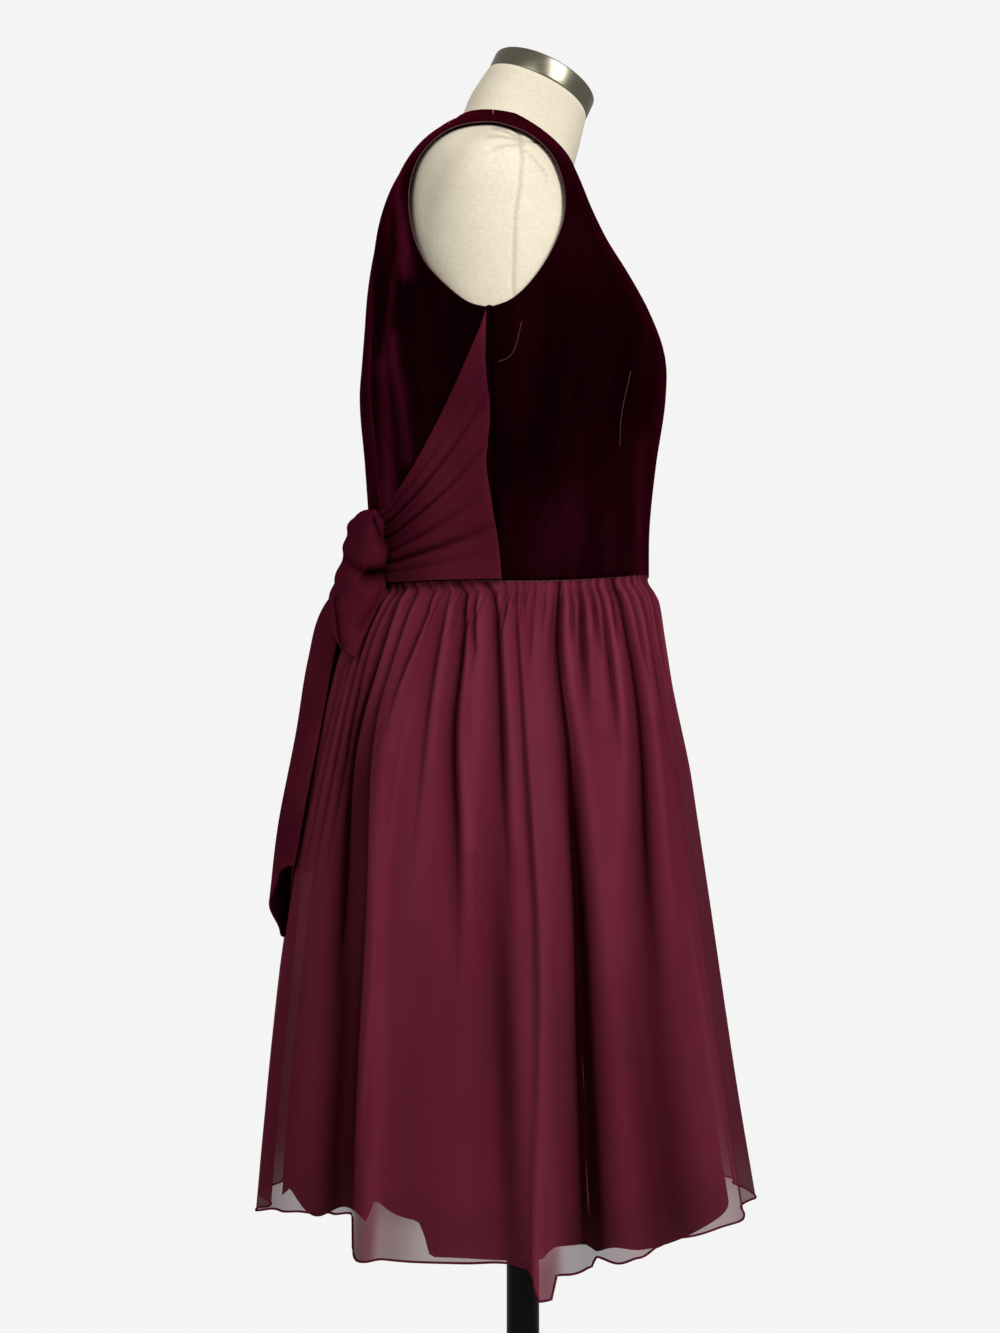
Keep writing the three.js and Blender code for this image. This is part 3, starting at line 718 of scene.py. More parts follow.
def bodicePanel(name, side, node):
    def place(u, v):
        return bodicePoint(*bodiceSpot(side, u, bodiceRows * v))

    def nap(u, v):
        return paintedSheenAt(*bodiceSpot(side, u, bodiceRows * v))

    bm = gridBmesh(bodice["columns"], bodiceRows * bodice["rowsPerStep"], place, nap=nap)
    panel = toObject(name, bm, velvet)
    thicken(panel, bodice["wall"])
    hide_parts(node)


def onBodice(pairs, lift, count=24):
    # points along a line given as pairs of angle and height
    curve = smoothTable([dict(t=k, angle=a, height=h) for k, (a, h) in enumerate(pairs)], "t")
    spots = [curve((len(pairs) - 1) * k / count) for k in range(count + 1)]
    return [raised(bodicePoint, math.radians(s.angle), s.height, lift) for s in spots]


def bodiceTrims():
    # sewn lines as thin cords that lie on the cloth; their pale colour is a painted highlight along each
    # seam
    settings = dict(lift=0.1, radius=0.28)
    darts = dict(
        sideDart=[(177.9, 1194), (176.6, 1180), (175.6, 1172), (173.8, 1166), (171, 1163)],
        waistDart=[(214.6, 1165), (212.8, 1140), (212.5, 1122), (213.5, 1104)],
        strapSeam=[(162, 1371), (158, 1377), (153, 1384)],
    )
    for name, line in darts.items():
        for side, mirror in (("Right", False), ("Left", True)):
            points = onBodice(line, settings["lift"])
            if mirror:
                points = [Vector((-p.x, p.y, p.z)) for p in points]
            toObject(name + side, tubeBmesh(points, settings["radius"]), facingAndSeamHighlight)


def armholeTrims():
    # the faced edge of each armhole and the tack that ends it at the underarm
    settings = dict(inside=0.8, edge=0.55, count=40, tack=(1.8, 3.2, 2.1), tackLift=0.4)
    lowest, last = bodice["rowsToUnderarm"], armholeEdge[-1]["step"]
    count = settings["count"]
    steps = [last * k / count for k in range(count + 1)]
    spots = [bodiceSpot("front", 0, lowest + step) for step in steps]
    spots += [bodiceSpot("back", 1, lowest + step) for step in reversed(steps)]
    edge = [raised(bodicePoint, angle, height, -settings["inside"]) for angle, height in spots]
    underarm = raised(bodicePoint, *spots[0], settings["tackLift"])
    for side, sign in (("Right", 1), ("Left", -1)):
        points = [Vector((p.x * sign, p.y, p.z)) for p in edge]
        cord = tubeBmesh(points, settings["edge"], closed=True)
        toObject("armholeEdge" + side, cord, facingAndSeamHighlight)
        bm = bmesh.new()
        bmesh.ops.create_uvsphere(bm, u_segments=20, v_segments=12, radius=1)
        for vert in bm.verts:
            vert.co = Vector(c * s for c, s in zip(vert.co, settings["tack"]))
            vert.co += Vector((underarm.x * sign, underarm.y, underarm.z))
        toObject("underarmTack" + side, bm, velvet)


bodicePanel("velvetFront", "front", "bodice_front")
bodicePanel("velvetBack", "back", "bodice_back")
bodiceTrims()
armholeTrims()
print("bodice made")


# sash

sash = dict(
    knotAngle=94.5,
    air=2.0,
    hem=-0.6,
    topAtKnot=1050,
    sweep=3.3,
    bottomAtKnot=1024,
    wall=1.5,
    belowUnderarm=2,
    behindSeam=1,
    swell=3.6,
    rise=1.2,
    pleatReach=6,  # widths away from a valley past which it no longer shows
    pleatSharp=1.2,
    # pleatDark: painted shade in the pleat valleys
    pleatDark=0.15,
    columns=70,
    rows=150,
)
sashPleats = [  # each valley's share of the way up, at the side seam, halfway and at the knot
    dict(seam=0.80, middle=0.90, knot=0.97, depth=1.6, width=0.015),
    dict(seam=0.70, middle=0.78, knot=0.86, depth=4.2, width=0.014),
    dict(seam=0.61, middle=0.70, knot=0.78, depth=1.2, width=0.015),
    dict(seam=0.52, middle=0.60, knot=0.67, depth=3.8, width=0.014),
    dict(seam=0.44, middle=0.49, knot=0.55, depth=0.9, width=0.014),
    dict(seam=0.355, middle=0.40, knot=0.45, depth=3.0, width=0.019),
    dict(seam=0.215, middle=0.26, knot=0.30, depth=4.6, width=0.022),
    dict(seam=0.12, middle=0.13, knot=0.16, depth=1.2, width=0.018),
]
# how far the side edge strays from the seam, in degrees, by its share of the way up
sashSeam = pathCurve([(0, 2.2), (0.12, 1.9), (0.3, 0.2), (0.45, -1.0), (0.62, 0.4), (0.8, -0.4), (1, 0)])


def pleatValley(u, v):
    # how far down in a pleat a point of the sash lies
    deep = 0
    for pleat in sashPleats:
        line = pleat["seam"] * (1 - u) * (1 - 2 * u)
        line += pleat["middle"] * 4 * u * (1 - u)
        line += pleat["knot"] * u * (2 * u - 1)
        away = abs(v - line) / pleat["width"]
        if away < sash["pleatReach"]:
            deep = max(deep, pleat["depth"] * math.exp(-(away ** sash["pleatSharp"])))
    return deep * smoothStep(u, -0.25, 0.4)


def sashRise(u, v):
    swell = sash["swell"] * math.sin(math.pi * (0.1 + 0.8 * u)) * smoothStep(v, 0.0, 0.3)
    return max(0.0, swell + sash["rise"] - pleatValley(u, v))


def sashPoint(u, v, lift):
    underarm = armholeEdge[0]["height"] - sash["belowUnderarm"]
    level = bodice["waistSide"] + v * (underarm - bodice["waistSide"])
    seam = math.pi - angleAtDepth(level, sideSeam(v) + sash["behindSeam"]) + math.radians(sashSeam(v))
    angle = seam + u * (math.radians(sash["knotAngle"]) - seam)
    waist = waistHeight(angle) + sash["hem"]
    low = waist + (sash["bottomAtKnot"] - waist) * smoothStep(u, 0.55, 1)
    high = sash["topAtKnot"] + (underarm - sash["topAtKnot"]) * (1 - u) ** sash["sweep"]
    return raised(bodicePoint, angle, low + v * (high - low), sash["air"] + sashRise(u, v) + lift)


def mirrorBmesh(bm):
    for vert in bm.verts:
        vert.co.x = -vert.co.x
    bmesh.ops.reverse_faces(bm, faces=bm.faces)
    return bm


def sashPanel(name, node, mirror):
    bm = gridBmesh(
        sash["columns"],
        sash["rows"],
        lambda u, v: sashPoint(1 - u, v, sash["wall"]),
        fold=lambda u, v: sash["pleatDark"] * pleatValley(1 - u, v),
    )
    piece = toObject(name, mirrorBmesh(bm) if mirror else bm, crepe)
    thicken(piece, sash["wall"])
    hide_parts(node)


sashPanel("sashRight", "sash_right", False)
sashPanel("sashLeft", "sash_left", True)
print("sash made")


# skirt

skirtRings = [
    dict(fall=0, halfWidth=122, middle=-6, front=-110, back=130),
    dict(fall=0.02, halfWidth=128, middle=-5, front=-113, back=136),
    dict(fall=0.05, halfWidth=138, middle=-3, front=-117.5, back=143),
    dict(fall=0.1, halfWidth=150, middle=0, front=-121, back=153),
    dict(fall=0.2, halfWidth=169, middle=4, front=-128, back=166),
    dict(fall=0.3, halfWidth=182, middle=7, front=-135.5, back=176),
    dict(fall=0.4, halfWidth=191, middle=9, front=-141.5, back=184),
    dict(fall=0.55, halfWidth=204, middle=11, front=-151, back=193),
    dict(fall=0.7, halfWidth=217, middle=13, front=-161, back=201),
    dict(fall=0.85, halfWidth=232, middle=14, front=-172, back=208),
    dict(fall=1, halfWidth=248, middle=15, front=-184, back=213),
]
liningRings = [
    dict(fall=0, halfWidth=119, middle=-6, front=-107, back=126),
    dict(fall=0.02, halfWidth=122, middle=-5, front=-109, back=128.5),
    dict(fall=0.05, halfWidth=131, middle=-3, front=-112, back=134),
    dict(fall=0.1, halfWidth=144, middle=0, front=-115, back=141),
    dict(fall=0.2, halfWidth=163.5, middle=4, front=-119, back=152),
    dict(fall=0.3, halfWidth=176, middle=7, front=-124, back=162),
    dict(fall=0.4, halfWidth=181, middle=9, front=-129, back=170),
    dict(fall=0.55, halfWidth=188, middle=11, front=-136.5, back=179),
    dict(fall=0.7, halfWidth=198, middle=13, front=-145, back=186),
    dict(fall=0.85, halfWidth=210, middle=14, front=-154, back=192),
    dict(fall=1, halfWidth=223, middle=15, front=-165, back=196),
]
skirtShape = smoothTable(skirtRings, "fall")
liningShape = smoothTable(liningRings, "fall")
skirt = dict(
    fullness=2.25,
    hemSide=484,
    hemFrontRise=14,
    hemBackRise=11,
    liningLift=-5,
    gatherPitch=3.6,  # degrees between two gathers where none is listed
    seamFall=0.03,  # share of the fall in which the cloth leaves the bodice
    hemRoll=0.9,
    chiffonWall=1.2,
    liningAir=1.9,  # between overlay and lining at the waist seam
    liningWave=4,
    liningWaves=9,
    columns=720,
    rows=130,
    liningColumns=360,
    liningRows=70,
)

# gathers listed one by one: where each valley runs, as pairs of fall and angle
sideGathers = [
    dict(path=[(0, 116.5), (0.2, 117)], depth=7, width=1.2, end=0.5),
    dict(path=[(0, 120), (0.2, 121)], depth=7, width=1.1, end=0.55),
    dict(path=[(0, 124), (0.2, 125)], depth=8, width=1.1, end=0.6),
    dict(path=[(0, 128), (0.2, 129)], depth=8, width=1.2, end=0.6),
    dict(path=[(0, 131), (0.1, 134.5), (0.3, 133), (0.5, 136), (1, 140)], depth=9, width=1.6, end=0.9),
    dict(
        path=[(0, 137.5), (0.08, 140.6), (0.25, 140.6), (0.5, 145.6), (0.8, 148.8), (1, 151.6)],
        depth=7,
        width=1.0,
        end=2,
    ),
    dict(path=[(0, 144), (0.06, 147), (0.2, 145.6)], depth=7, width=1.1, end=0.3),
    dict(path=[(0, 150), (0.06, 153), (0.22, 156), (0.5, 158)], depth=5.5, width=1.4, end=0.5),
    dict(path=[(0, 154), (0.06, 156.5)], depth=4, width=0.8, end=0.12),
    dict(path=[(0, 156), (0.1, 161.5), (0.25, 164), (0.4, 167), (0.7, 170)], depth=8.5, width=1.2, end=0.75),
    dict(path=[(0, 160), (0.12, 166)], depth=6, width=0.9, end=0.18),
    dict(path=[(0, 165), (0.05, 169.5), (0.2, 175), (0.4, 178), (0.6, 180)], depth=8.5, width=1.2, end=0.6),
    dict(path=[(0, 171), (0.05, 172.5)], depth=5, width=0.9, end=0.09),
    dict(path=[(0, 174.5), (0.15, 179.4), (0.3, 182.4), (0.5, 185)], depth=4.5, width=0.7, end=0.8),
    dict(path=[(0, 177), (0.05, 179)], depth=4, width=0.8, end=0.08),
    dict(path=[(0, 181), (0.05, 182.5)], depth=3, width=0.8, end=0.08),
    dict(path=[(0, 185), (0.06, 185)], depth=4, width=1.0, end=0.14),
    dict(path=[(0, 191), (0.1, 190.5), (0.3, 194), (0.5, 196), (1, 196)], depth=9.5, width=1.4, end=3),
    dict(path=[(0, 195), (0.1, 195)], depth=6, width=0.9, end=0.14),
    dict(path=[(0, 199), (0.2, 198)], depth=7, width=1.0, end=0.3),
    dict(path=[(0, 203), (0.1, 203.5)], depth=6, width=0.9, end=0.16),
    dict(path=[(0, 207), (0.22, 207.5)], depth=7.5, width=1.0, end=0.36),
    dict(path=[(0, 211.5), (0.1, 211)], depth=5, width=0.9, end=0.14),
    dict(path=[(0, 215), (0.1, 217), (0.2, 218), (0.5, 216)], depth=9, width=1.8, end=0.85),
    dict(path=[(0, 222), (0.1, 223)], depth=6, width=1.1, end=0.2),
    dict(path=[(0, 228), (0.1, 230)], depth=7, width=1.2, end=0.35),
]
handPlaced = (114, 231)  # from and to which angle

# large folds: depth stands out, and where given,
# lean tips the fold over its neighbour and drop lowers the hem
skirtFolds = [
    dict(path=[(0, 8)], spread=6, depth=9, drop=8),
    dict(path=[(0, 20)], spread=5, depth=-9),
    dict(path=[(0, 33)], spread=7, depth=7, drop=4),
    dict(path=[(0, 47)], spread=6, depth=-8, drop=-3),
    dict(path=[(0, 62)], spread=7, depth=6, drop=2),
    dict(path=[(0, 76)], spread=5, depth=-7, drop=-2),
    dict(path=[(0, 90)], spread=7, depth=6, drop=1),
    dict(path=[(0, 104)], spread=5, depth=-8),
    dict(path=[(0, 117)], spread=6, depth=7),
    dict(path=[(0, 133), (0.4, 136), (1, 143)], spread=7, depth=-12),
    dict(path=[(0, 144), (0.4, 147), (0.7, 152), (1, 155)], spread=3, depth=9, lean=1.5),
    dict(path=[(0, 162), (1, 165)], spread=9, depth=4),
    dict(path=[(0, 172), (1, 178.5)], spread=3.6, depth=-9),
    dict(path=[(0, 177), (0.2, 182), (0.5, 187), (1, 186.4)], spread=2.1, depth=12, lean=-1.4),
    dict(path=[(0, 191), (0.3, 194), (0.5, 196), (1, 196)], spread=3.0, depth=-13),
    dict(path=[(0, 203)], spread=4, depth=6),
    dict(path=[(0, 212), (1, 215)], spread=5, depth=-6),
    dict(path=[(0, 231)], spread=8, depth=5),
    dict(path=[(0, 246)], spread=6, depth=-6),
    dict(path=[(0, 262)], spread=7, depth=6, drop=3),
    dict(path=[(0, 277)], spread=6, depth=-6),
    dict(path=[(0, 292)], spread=7, depth=6, drop=2),
    dict(path=[(0, 307)], spread=6, depth=-7),
    dict(path=[(0, 322)], spread=6, depth=7, drop=5),
    dict(path=[(0, 337)], spread=5, depth=-9),
    dict(path=[(0, 350)], spread=6, depth=8, drop=10),
]

# painted shade where the cloth lies doubled and where it is turned from the light: how dark, and from and to
# which fall
shadedBands = [
    dict(path=[(0, 133), (0.4, 138), (1, 146)], spread=4.5, dark=0.54, start=0.1, end=0.4),
    dict(path=[(0, 122), (1, 126)], spread=7, dark=0.22, start=0.0, end=0.3),
    dict(path=[(0, 164), (1, 166)], spread=10, dark=0.14, start=0.5, end=0.85),
    dict(path=[(0, 170), (0.5, 178), (1, 182)], spread=2.6, dark=0.5, start=0.3, end=0.72),
    dict(path=[(0, 186), (0.5, 191), (1, 191)], spread=2.6, dark=0.20, start=0.4, end=0.75),
    dict(path=[(0, 192), (0.5, 196), (1, 196)], spread=1.4, dark=0.8, start=0.25, end=0.75),
    dict(path=[(0, 210), (1, 212)], spread=11, dark=0.46, start=0.3, end=0.85),
    dict(path=[(0, 246), (1, 250)], spread=12, dark=0.16, start=0.2, end=0.6),
]


def allGathers():
    # the rest of the way round, each gather a little different from the next
    dice = random.Random(7)
    gathers = list(sideGathers)
    centre = handPlaced[1] + 3
    while centre < handPlaced[0] + 360 - 2:
        bend = dice.uniform(-2, 2)
        path = [(0, centre), (0.3, centre + bend), (0.7, centre + 2 * bend)]
        deep = dice.uniform(4.5, 9)
        end = dice.uniform(0.1, 0.5) * (1.8 if deep > 7.5 else 0.8)
        gathers.append(dict(path=path, depth=deep, width=dice.uniform(0.9, 1.5), end=end))
        centre += skirt["gatherPitch"] * dice.uniform(0.7, 1.35)
    centre = 0
    while centre < 360:  # short ones all along the seam
        deep = dice.uniform(1.8, 4)
        path = [(0, centre), (0.1, centre + dice.uniform(-1, 1))]
        wide, end = dice.uniform(0.5, 0.9), dice.uniform(0.04, 0.05 * deep)
        gathers.append(dict(path=path, depth=deep, width=wide, end=end))
        centre += dice.uniform(1.4, 3.2)
    return gathers


gathers = allGathers()
for line in gathers + skirtFolds + shadedBands:
    line["curve"] = pathCurve(line["path"])


@functools.lru_cache(maxsize=None)
def gathersAt(fall):
    # each valley's angle, depth and width at a fall
    found = []
    for gather in gathers:
        fade = 1 - smoothStep(fall, gather["end"] * 0.4, gather["end"])
        if fade > 0.01:
            start = smoothStep(fall, -0.006, 0.012) * (0.5 + 0.5 * smoothStep(fall, 0, 0.08))
            width = gather["width"] * (1 + 1.4 * fall)
            found.append((gather["curve"](fall), gather["depth"] * fade, start, width))
    return found


@functools.lru_cache(maxsize=None)
def foldsAt(fall):
    grown = smoothStep(fall, 0.02, 0.75) ** 0.8
    return [
        (f["curve"](fall), f["spread"], f["depth"] * grown, f.get("lean", 0) * grown, f.get("drop", 0))
        for f in skirtFolds
    ]


# how far the overlay's hem hangs below its mean line on the side with the tall fold, by angle
hemDrops = [
    (96, 0), (106, 3), (114, -1), (130, -11), (138, -15), (146, -19), (151.6, -23), (152.4, 3),
    (153.4, 6), (160, 3), (171, 2), (180, 3), (183.6, 5), (184.8, 8), (185.9, 20), (186.5, 26),
    (188.1, 26), (188.5, 10.5), (191, 11.5), (195.8, 11), (196.6, 4), (199, 7), (202, 3), (206, -2),
    (210, -3.5), (217, -1), (224, -2.5), (236, 0),
]


def hemDrop(angle, fall):
    degrees = math.degrees(angle) % 360
    if not hemDrops[0][0] < degrees < hemDrops[-1][0]:
        return 0
    k = bisect.bisect_right(hemDrops, (degrees, 1e9))
    (a0, d0), (a1, d1) = hemDrops[k - 1], hemDrops[k]
    return d0 + (d1 - d0) * smoothStep(degrees, a0, a1)


def hemHeight(angle):
    return edgeHeight(angle, skirt["hemSide"], skirt["hemFrontRise"], skirt["hemBackRise"])


def skirtBase(shape, inset, angle, fall, hem):
    # a point of the skirt without its folds: it starts at the bodice and soon follows its own rings
    waist = waistHeight(angle)
    band = raised(bodicePoint, angle, waist, -inset) if fall < skirt["seamFall"] else Vector()
    ring = shape(fall)
    x, y = ringPoint(ring, ring.middle, skirt["fullness"], angle)
    away = smoothStep(fall, 0, skirt["seamFall"])
    height = waist - bodice["seamGap"] + (hem - waist) * fall
    return Vector((band.x + (x - band.x) * away, band.y + (y - band.y) * away, height))


def clearance(fall):
    # how far the lining's rings lie inside the overlay's
    return skirtShape(fall).halfWidth - liningShape(fall).halfWidth


gatherLook = dict(
    foldReach=3.2,  # widths past which a large fold no longer counts
    reach=5,
    steep=0.6,  # one wall of a gather is steeper
    gentle=1.5,
    sharp=1.3,
    # ground is the painted mark's even level; the gathers' valleys add painted shade, darker by their depth
    ground=0.2,
    fullDepth=8.5,
    darkPower=1.8,
    dark=0.75,
    lipDepth=4,  # deeper gathers get a painted highlight on their lip
    lipLight=0.014,
    lipAt=2.6,
    ridge=3.2,
    give=8,  # how far the lining gives way
    least=2.2,  # between lining and overlay at the waist
    near=0.9,
)


@functools.lru_cache(maxsize=None)
def drape(angle, fall):
    # how far the cloth stands out, is turned and is lowered at a point, and how much painted shade and
    # highlight it gets
    swell = turn = drop = valley = 0
    look = gatherLook
    skirtShadeAndHighlight = look["ground"]
    for centre, spread, depth, lean, low in foldsAt(fall):
        away = turned(angle, centre) / spread
        if abs(away) < look["foldReach"]:
            hump = math.exp(-(away**2))
            swell += depth * hump
            turn += lean * hump
            drop += low * hump
    for centre, depth, start, width in gathersAt(fall):
        away = turned(angle, centre) / width
        away = away / look["steep"] if away > 0 else -away / look["gentle"]
        if away < look["reach"]:
            hollow = depth * math.exp(-(away ** look["sharp"]))
            valley += hollow * start
            skirtShadeAndHighlight += (hollow / look["fullDepth"]) ** look["darkPower"] * look["dark"]
            if depth > look["lipDepth"]:
                skirtShadeAndHighlight -= look["lipLight"] * depth * math.exp(-((away - look["lipAt"]) ** 2))
    for band in shadedBands:
        away = turned(angle, band["curve"](fall)) / band["spread"]
        skirtShadeAndHighlight += band["dark"] * math.exp(-(away**2)) * smoothStep(fall, band["start"], band["end"])
    ridge = look["ridge"] * smoothStep(fall, 0, 0.045) * (1 - 0.6 * smoothStep(fall, 0.3, 0.9))
    dip = look["give"] * smoothStep(fall, 0.2, 0.5)
    room = look["least"] + (clearance(fall) - look["least"]) * smoothStep(fall, 0, 0.05)
    out = max(ridge + swell - valley, look["near"] - room - dip)
    # recessed folds get more painted shade
    skirtShadeAndHighlightClamped = min(max(skirtShadeAndHighlight + max(0, -swell) / 60, 0), 1)
    return out, turn, drop + hemDrop(angle, fall), skirtShadeAndHighlightClamped


def overlayPoint(angle, fall):
    out, turn, drop, _ = drape(angle, fall)
    angle += math.radians(turn)
    point = skirtBase(skirtShape, 0, angle, fall, hemHeight(angle) - drop)
    return point + Vector((math.cos(angle), math.sin(angle), 0)) * out


def overlaySpot(u, v):
    # columns lie closer together towards the sides
    return 2 * math.pi * u - 0.2 * math.sin(4 * math.pi * u), (1 - v) ** 1.35


# where the free hem lies doubled: angle, how widely and how much more it hides
hemLayers = [(98, 34, 0.17), (154.4, 3.2, 0.13), (158, 7, 0.14), (186.9, 2.3, 0.24), (264, 34, 0.17)]


coverLook = dict(most=0.98, whole=0.93, hemLoss=0.24, foldLoss=0.14, foldAngle=187, foldWidth=5, edge=4)


def overlayCover(angle, fall):
    # one layer hides less where the cloth hangs free at the hem, and the tall fold hides less all the way up
    look = coverLook
    doubled = sum(
        more * math.exp(-((turned(angle, at) / wide) ** look["edge"])) for at, wide, more in hemLayers
    )
    away = turned(angle, look["foldAngle"]) / look["foldWidth"]
    thin = look["foldLoss"] * math.exp(-(away ** look["edge"])) * smoothStep(fall, 0.03, 0.15)
    loss = (look["hemLoss"] - doubled - thin) * smoothStep(fall, 0.9, 0.97)
    return min(look["most"], look["whole"] - thin - loss)


def overlaySkirt():
    columns = skirt["columns"]
    bm = gridBmesh(
        columns,
        skirt["rows"],
        lambda u, v: overlayPoint(*overlaySpot(u, v)),
        close=True,
        # painted shade and highlight from the drape
        fold=lambda u, v: drape(*overlaySpot(u, v))[3],
        cover=lambda u, v: overlayCover(*overlaySpot(u, v)),
    )
    skirtPiece = toObject("chiffonSkirt", bm, chiffon)
    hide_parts("skirt_front", "skirt_back")
    hem = [overlayPoint(*overlaySpot(k / columns, 0)) for k in range(columns)]
    roll = toObject("rolledHem", tubeBmesh(hem, skirt["hemRoll"], closed=True), crepe)


# the lining's hem isn't level: where it rises or sinks, how far in mm and how widely in degrees
liningRises = [
    (30, 8, 14), (72, 5, 12), (106, 8, 12), (124, 24, 14), (147.5, 26, 8), (171, 2, 8), (200, 5, 4),
    (222, 1, 12), (262, 5, 14), (305, 9, 16), (350, 4, 15),
]
# places where it rises far enough to leave the hem's overlay clear:
# angle, rise, width and steepness of the sides
liningWindows = [(159.2, 25, 6.2, 10), (191.9, 9, 4.4, 6)]


def liningPoint(angle, fall):
    wave = skirt["liningWave"] * fall * (1 + math.sin(skirt["liningWaves"] * angle)) / 2
    out = min(wave, drape(angle, fall)[0] + clearance(fall) - 2)
    lift = skirt["liningLift"]
    for at, rise, wide in liningRises:
        lift += rise * math.exp(-((turned(angle, at) / wide) ** 2))
    for at, rise, wide, steep in liningWindows:
        lift += rise * math.exp(-((turned(angle, at) / wide) ** steep))
    inset = skirt["chiffonWall"] + skirt["liningAir"]
    point = skirtBase(liningShape, inset, angle, fall, hemHeight(angle) + lift)
    return point + Vector((math.cos(angle), math.sin(angle), 0)) * out


def liningSkirt():
    def place(u, v):
        return liningPoint(2 * math.pi * u, (1 - v) ** 1.2)

    bm = gridBmesh(skirt["liningColumns"], skirt["liningRows"], place, close=True)
    piece = toObject("skirtLining", bm, satin)
    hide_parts("lining_front", "lining_back")


liningSkirt()
overlaySkirt()
print("skirt made")


# bow

bow = dict(
    knotHeight=1038,
    knotY=144.5,
    knotSize=(19, 9, 20),
    knotPleats=7,
    knotPleatDepth=0.05,
    start=18.7,
    length=88,
    pinch=9,
    halfWidth=66,
    droop=26,
    air=3,
    root=3.2,
    softness=3,
    wall=1.5,
    upperLean=9,
    pinchGather=1.6,
    creaseReach=4,
    creaseSharp=1.5,
    creaseFull=14,  # the depth at which a crease's painted shade is darkest
    columns=90,
    rows=80,
)
loopEnds = [  # the loop's end from its lower corner to its upper one
    dict(across=-1.0, y=137, puff=12),
    dict(across=-0.88, y=135, puff=17),
    dict(across=-0.72, y=133, puff=20.5),
    dict(across=-0.5, y=131, puff=22.5),
    dict(across=-0.3, y=129.4, puff=22.5),
    dict(across=-0.13, y=129, puff=21),
    dict(across=0.05, y=131, puff=14.5),
    dict(across=0.2, y=127, puff=16),
    dict(across=0.33, y=124.5, puff=15),
    dict(across=0.6, y=124.5, puff=13),
    dict(across=0.8, y=122.5, puff=10),
    dict(across=1.0, y=121, puff=2),
]
loopEnd = smoothTable(loopEnds, "across")
loopCreases = [  # from and to as share along the band and place across it
    dict(start=(0.86, 0.03), end=(0.52, 0.1), depth=15, width=0.10),
    dict(start=(0.52, 0.1), end=(0.22, 0.32), depth=6, width=0.07),
    dict(start=(0.5, 0.85), end=(0.72, 0.3), depth=6, width=0.06),
    dict(start=(0.31, -0.3), end=(0.37, -0.92), depth=8, width=0.04),
    dict(start=(0.62, -0.1), end=(0.5, -0.6), depth=5, width=0.07),
]


def skirtBack(x, height):
    waist = bodice["waistSide"] + bodice["waistBackRise"]
    ring = skirtShape(max(0, (waist - height) / (waist - skirt["hemSide"])))
    share = min(1, abs(x) / ring.halfWidth) ** skirt["fullness"]
    return ring.middle + (ring.back - ring.middle) * (1 - share) ** (1 / skirt["fullness"])


@functools.lru_cache(maxsize=None)
def loopGroove(along, across):
    deep = 0
    for crease in loopCreases:
        (s0, c0), (s1, c1) = crease["start"], crease["end"]
        # the band is about twice as long as it is wide
        ds, dc, ps, pc = 2 * (s1 - s0), c1 - c0, 2 * (along - s0), across - c0
        t = min(max((ps * ds + pc * dc) / (ds * ds + dc * dc), 0), 1)
        away = math.hypot(ps - t * ds, pc - t * dc) / crease["width"]
        if away < bow["creaseReach"]:
            deep = max(deep, crease["depth"] * math.exp(-(away ** bow["creaseSharp"])))
    return deep


def loopPoint(along, across):
    opened = max(0, math.sin(math.pi * along))
    end = loopEnd(across)
    out = bow["start"] + bow["length"] * opened - loopGroove(along, across) * opened
    side = across * (bow["pinch"] + (bow["halfWidth"] - bow["pinch"]) * opened**0.4)
    droop = math.radians(bow["droop"])
    lean = (side + math.hypot(side, bow["upperLean"])) / 4  # the upper half leans out
    x = -(out * math.cos(droop) + lean * math.sin(droop))
    height = bow["knotHeight"] - out * math.sin(droop) + side * math.cos(droop)
    rest = bow["knotY"] + (end.y - bow["knotY"]) * opened
    gather = bow["pinchGather"] * math.cos(5 * math.pi * across) * (1 - opened) * opened * 4
    layer = bow["root"] * (1 - 2 * along) + (end.puff + gather) * math.sin(2 * math.pi * along)
    floor = skirtBack(x, height) + bow["air"]
    y = (rest + layer + floor + math.hypot(rest + layer - floor, bow["softness"])) / 2
    return Vector((x, y + (rest + layer - y) * (1 - opened) ** 4, height))


def bowLoop(name, node, mirror):
    bm = gridBmesh(
        bow["columns"],
        bow["rows"],
        lambda u, v: loopPoint(u, 2 * v - 1),
        fold=lambda u, v: min(1, loopGroove(u, 2 * v - 1) / bow["creaseFull"]),
    )
    piece = toObject(name, mirrorBmesh(bm) if mirror else bm, crepe)
    thicken(piece, bow["wall"], 0)
    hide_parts(node)


tailRings = [
    dict(fall=0, height=1018.2, y=146, x=9, halfWidth=7, curl=5),
    dict(fall=0.1, height=985, y=170, x=17, halfWidth=15, curl=19),
    dict(fall=0.25, height=940, y=181, x=26, halfWidth=24, curl=23),
    dict(fall=0.45, height=875, y=189, x=38, halfWidth=33, curl=22),
    dict(fall=0.7, height=795, y=201, x=50, halfWidth=40, curl=23),
    dict(fall=1, height=716, y=207, x=56, halfWidth=41, curl=22),
]
tailShape = smoothTable(tailRings, "fall")
# edgeDark: painted shade towards the tail's curled edges, growing down the tail
tail = dict(farCurl=0.4, curlPower=1.7, foldDepth=1.6, wall=1.5, cut=58, edgeDark=0.12, columns=36, rows=90)


def tailPoint(across, fall):
    # across is 1 at the edge that shows from the side, which is cut shorter
    ring = tailShape(fall)
    sideways = -(ring.x + across * ring.halfWidth)
    bend = abs(across) ** tail["curlPower"] * ring.curl * (1 if across > 0 else tail["farCurl"])
    folds = tail["foldDepth"] * fall**0.5 * math.cos(2.4 * math.pi * across + 0.6)
    slant = tail["cut"] * fall**4 * (smoothStep(across, -1, 1) - 0.2)
    return Vector((sideways, ring.y - bend + folds, ring.height + slant))


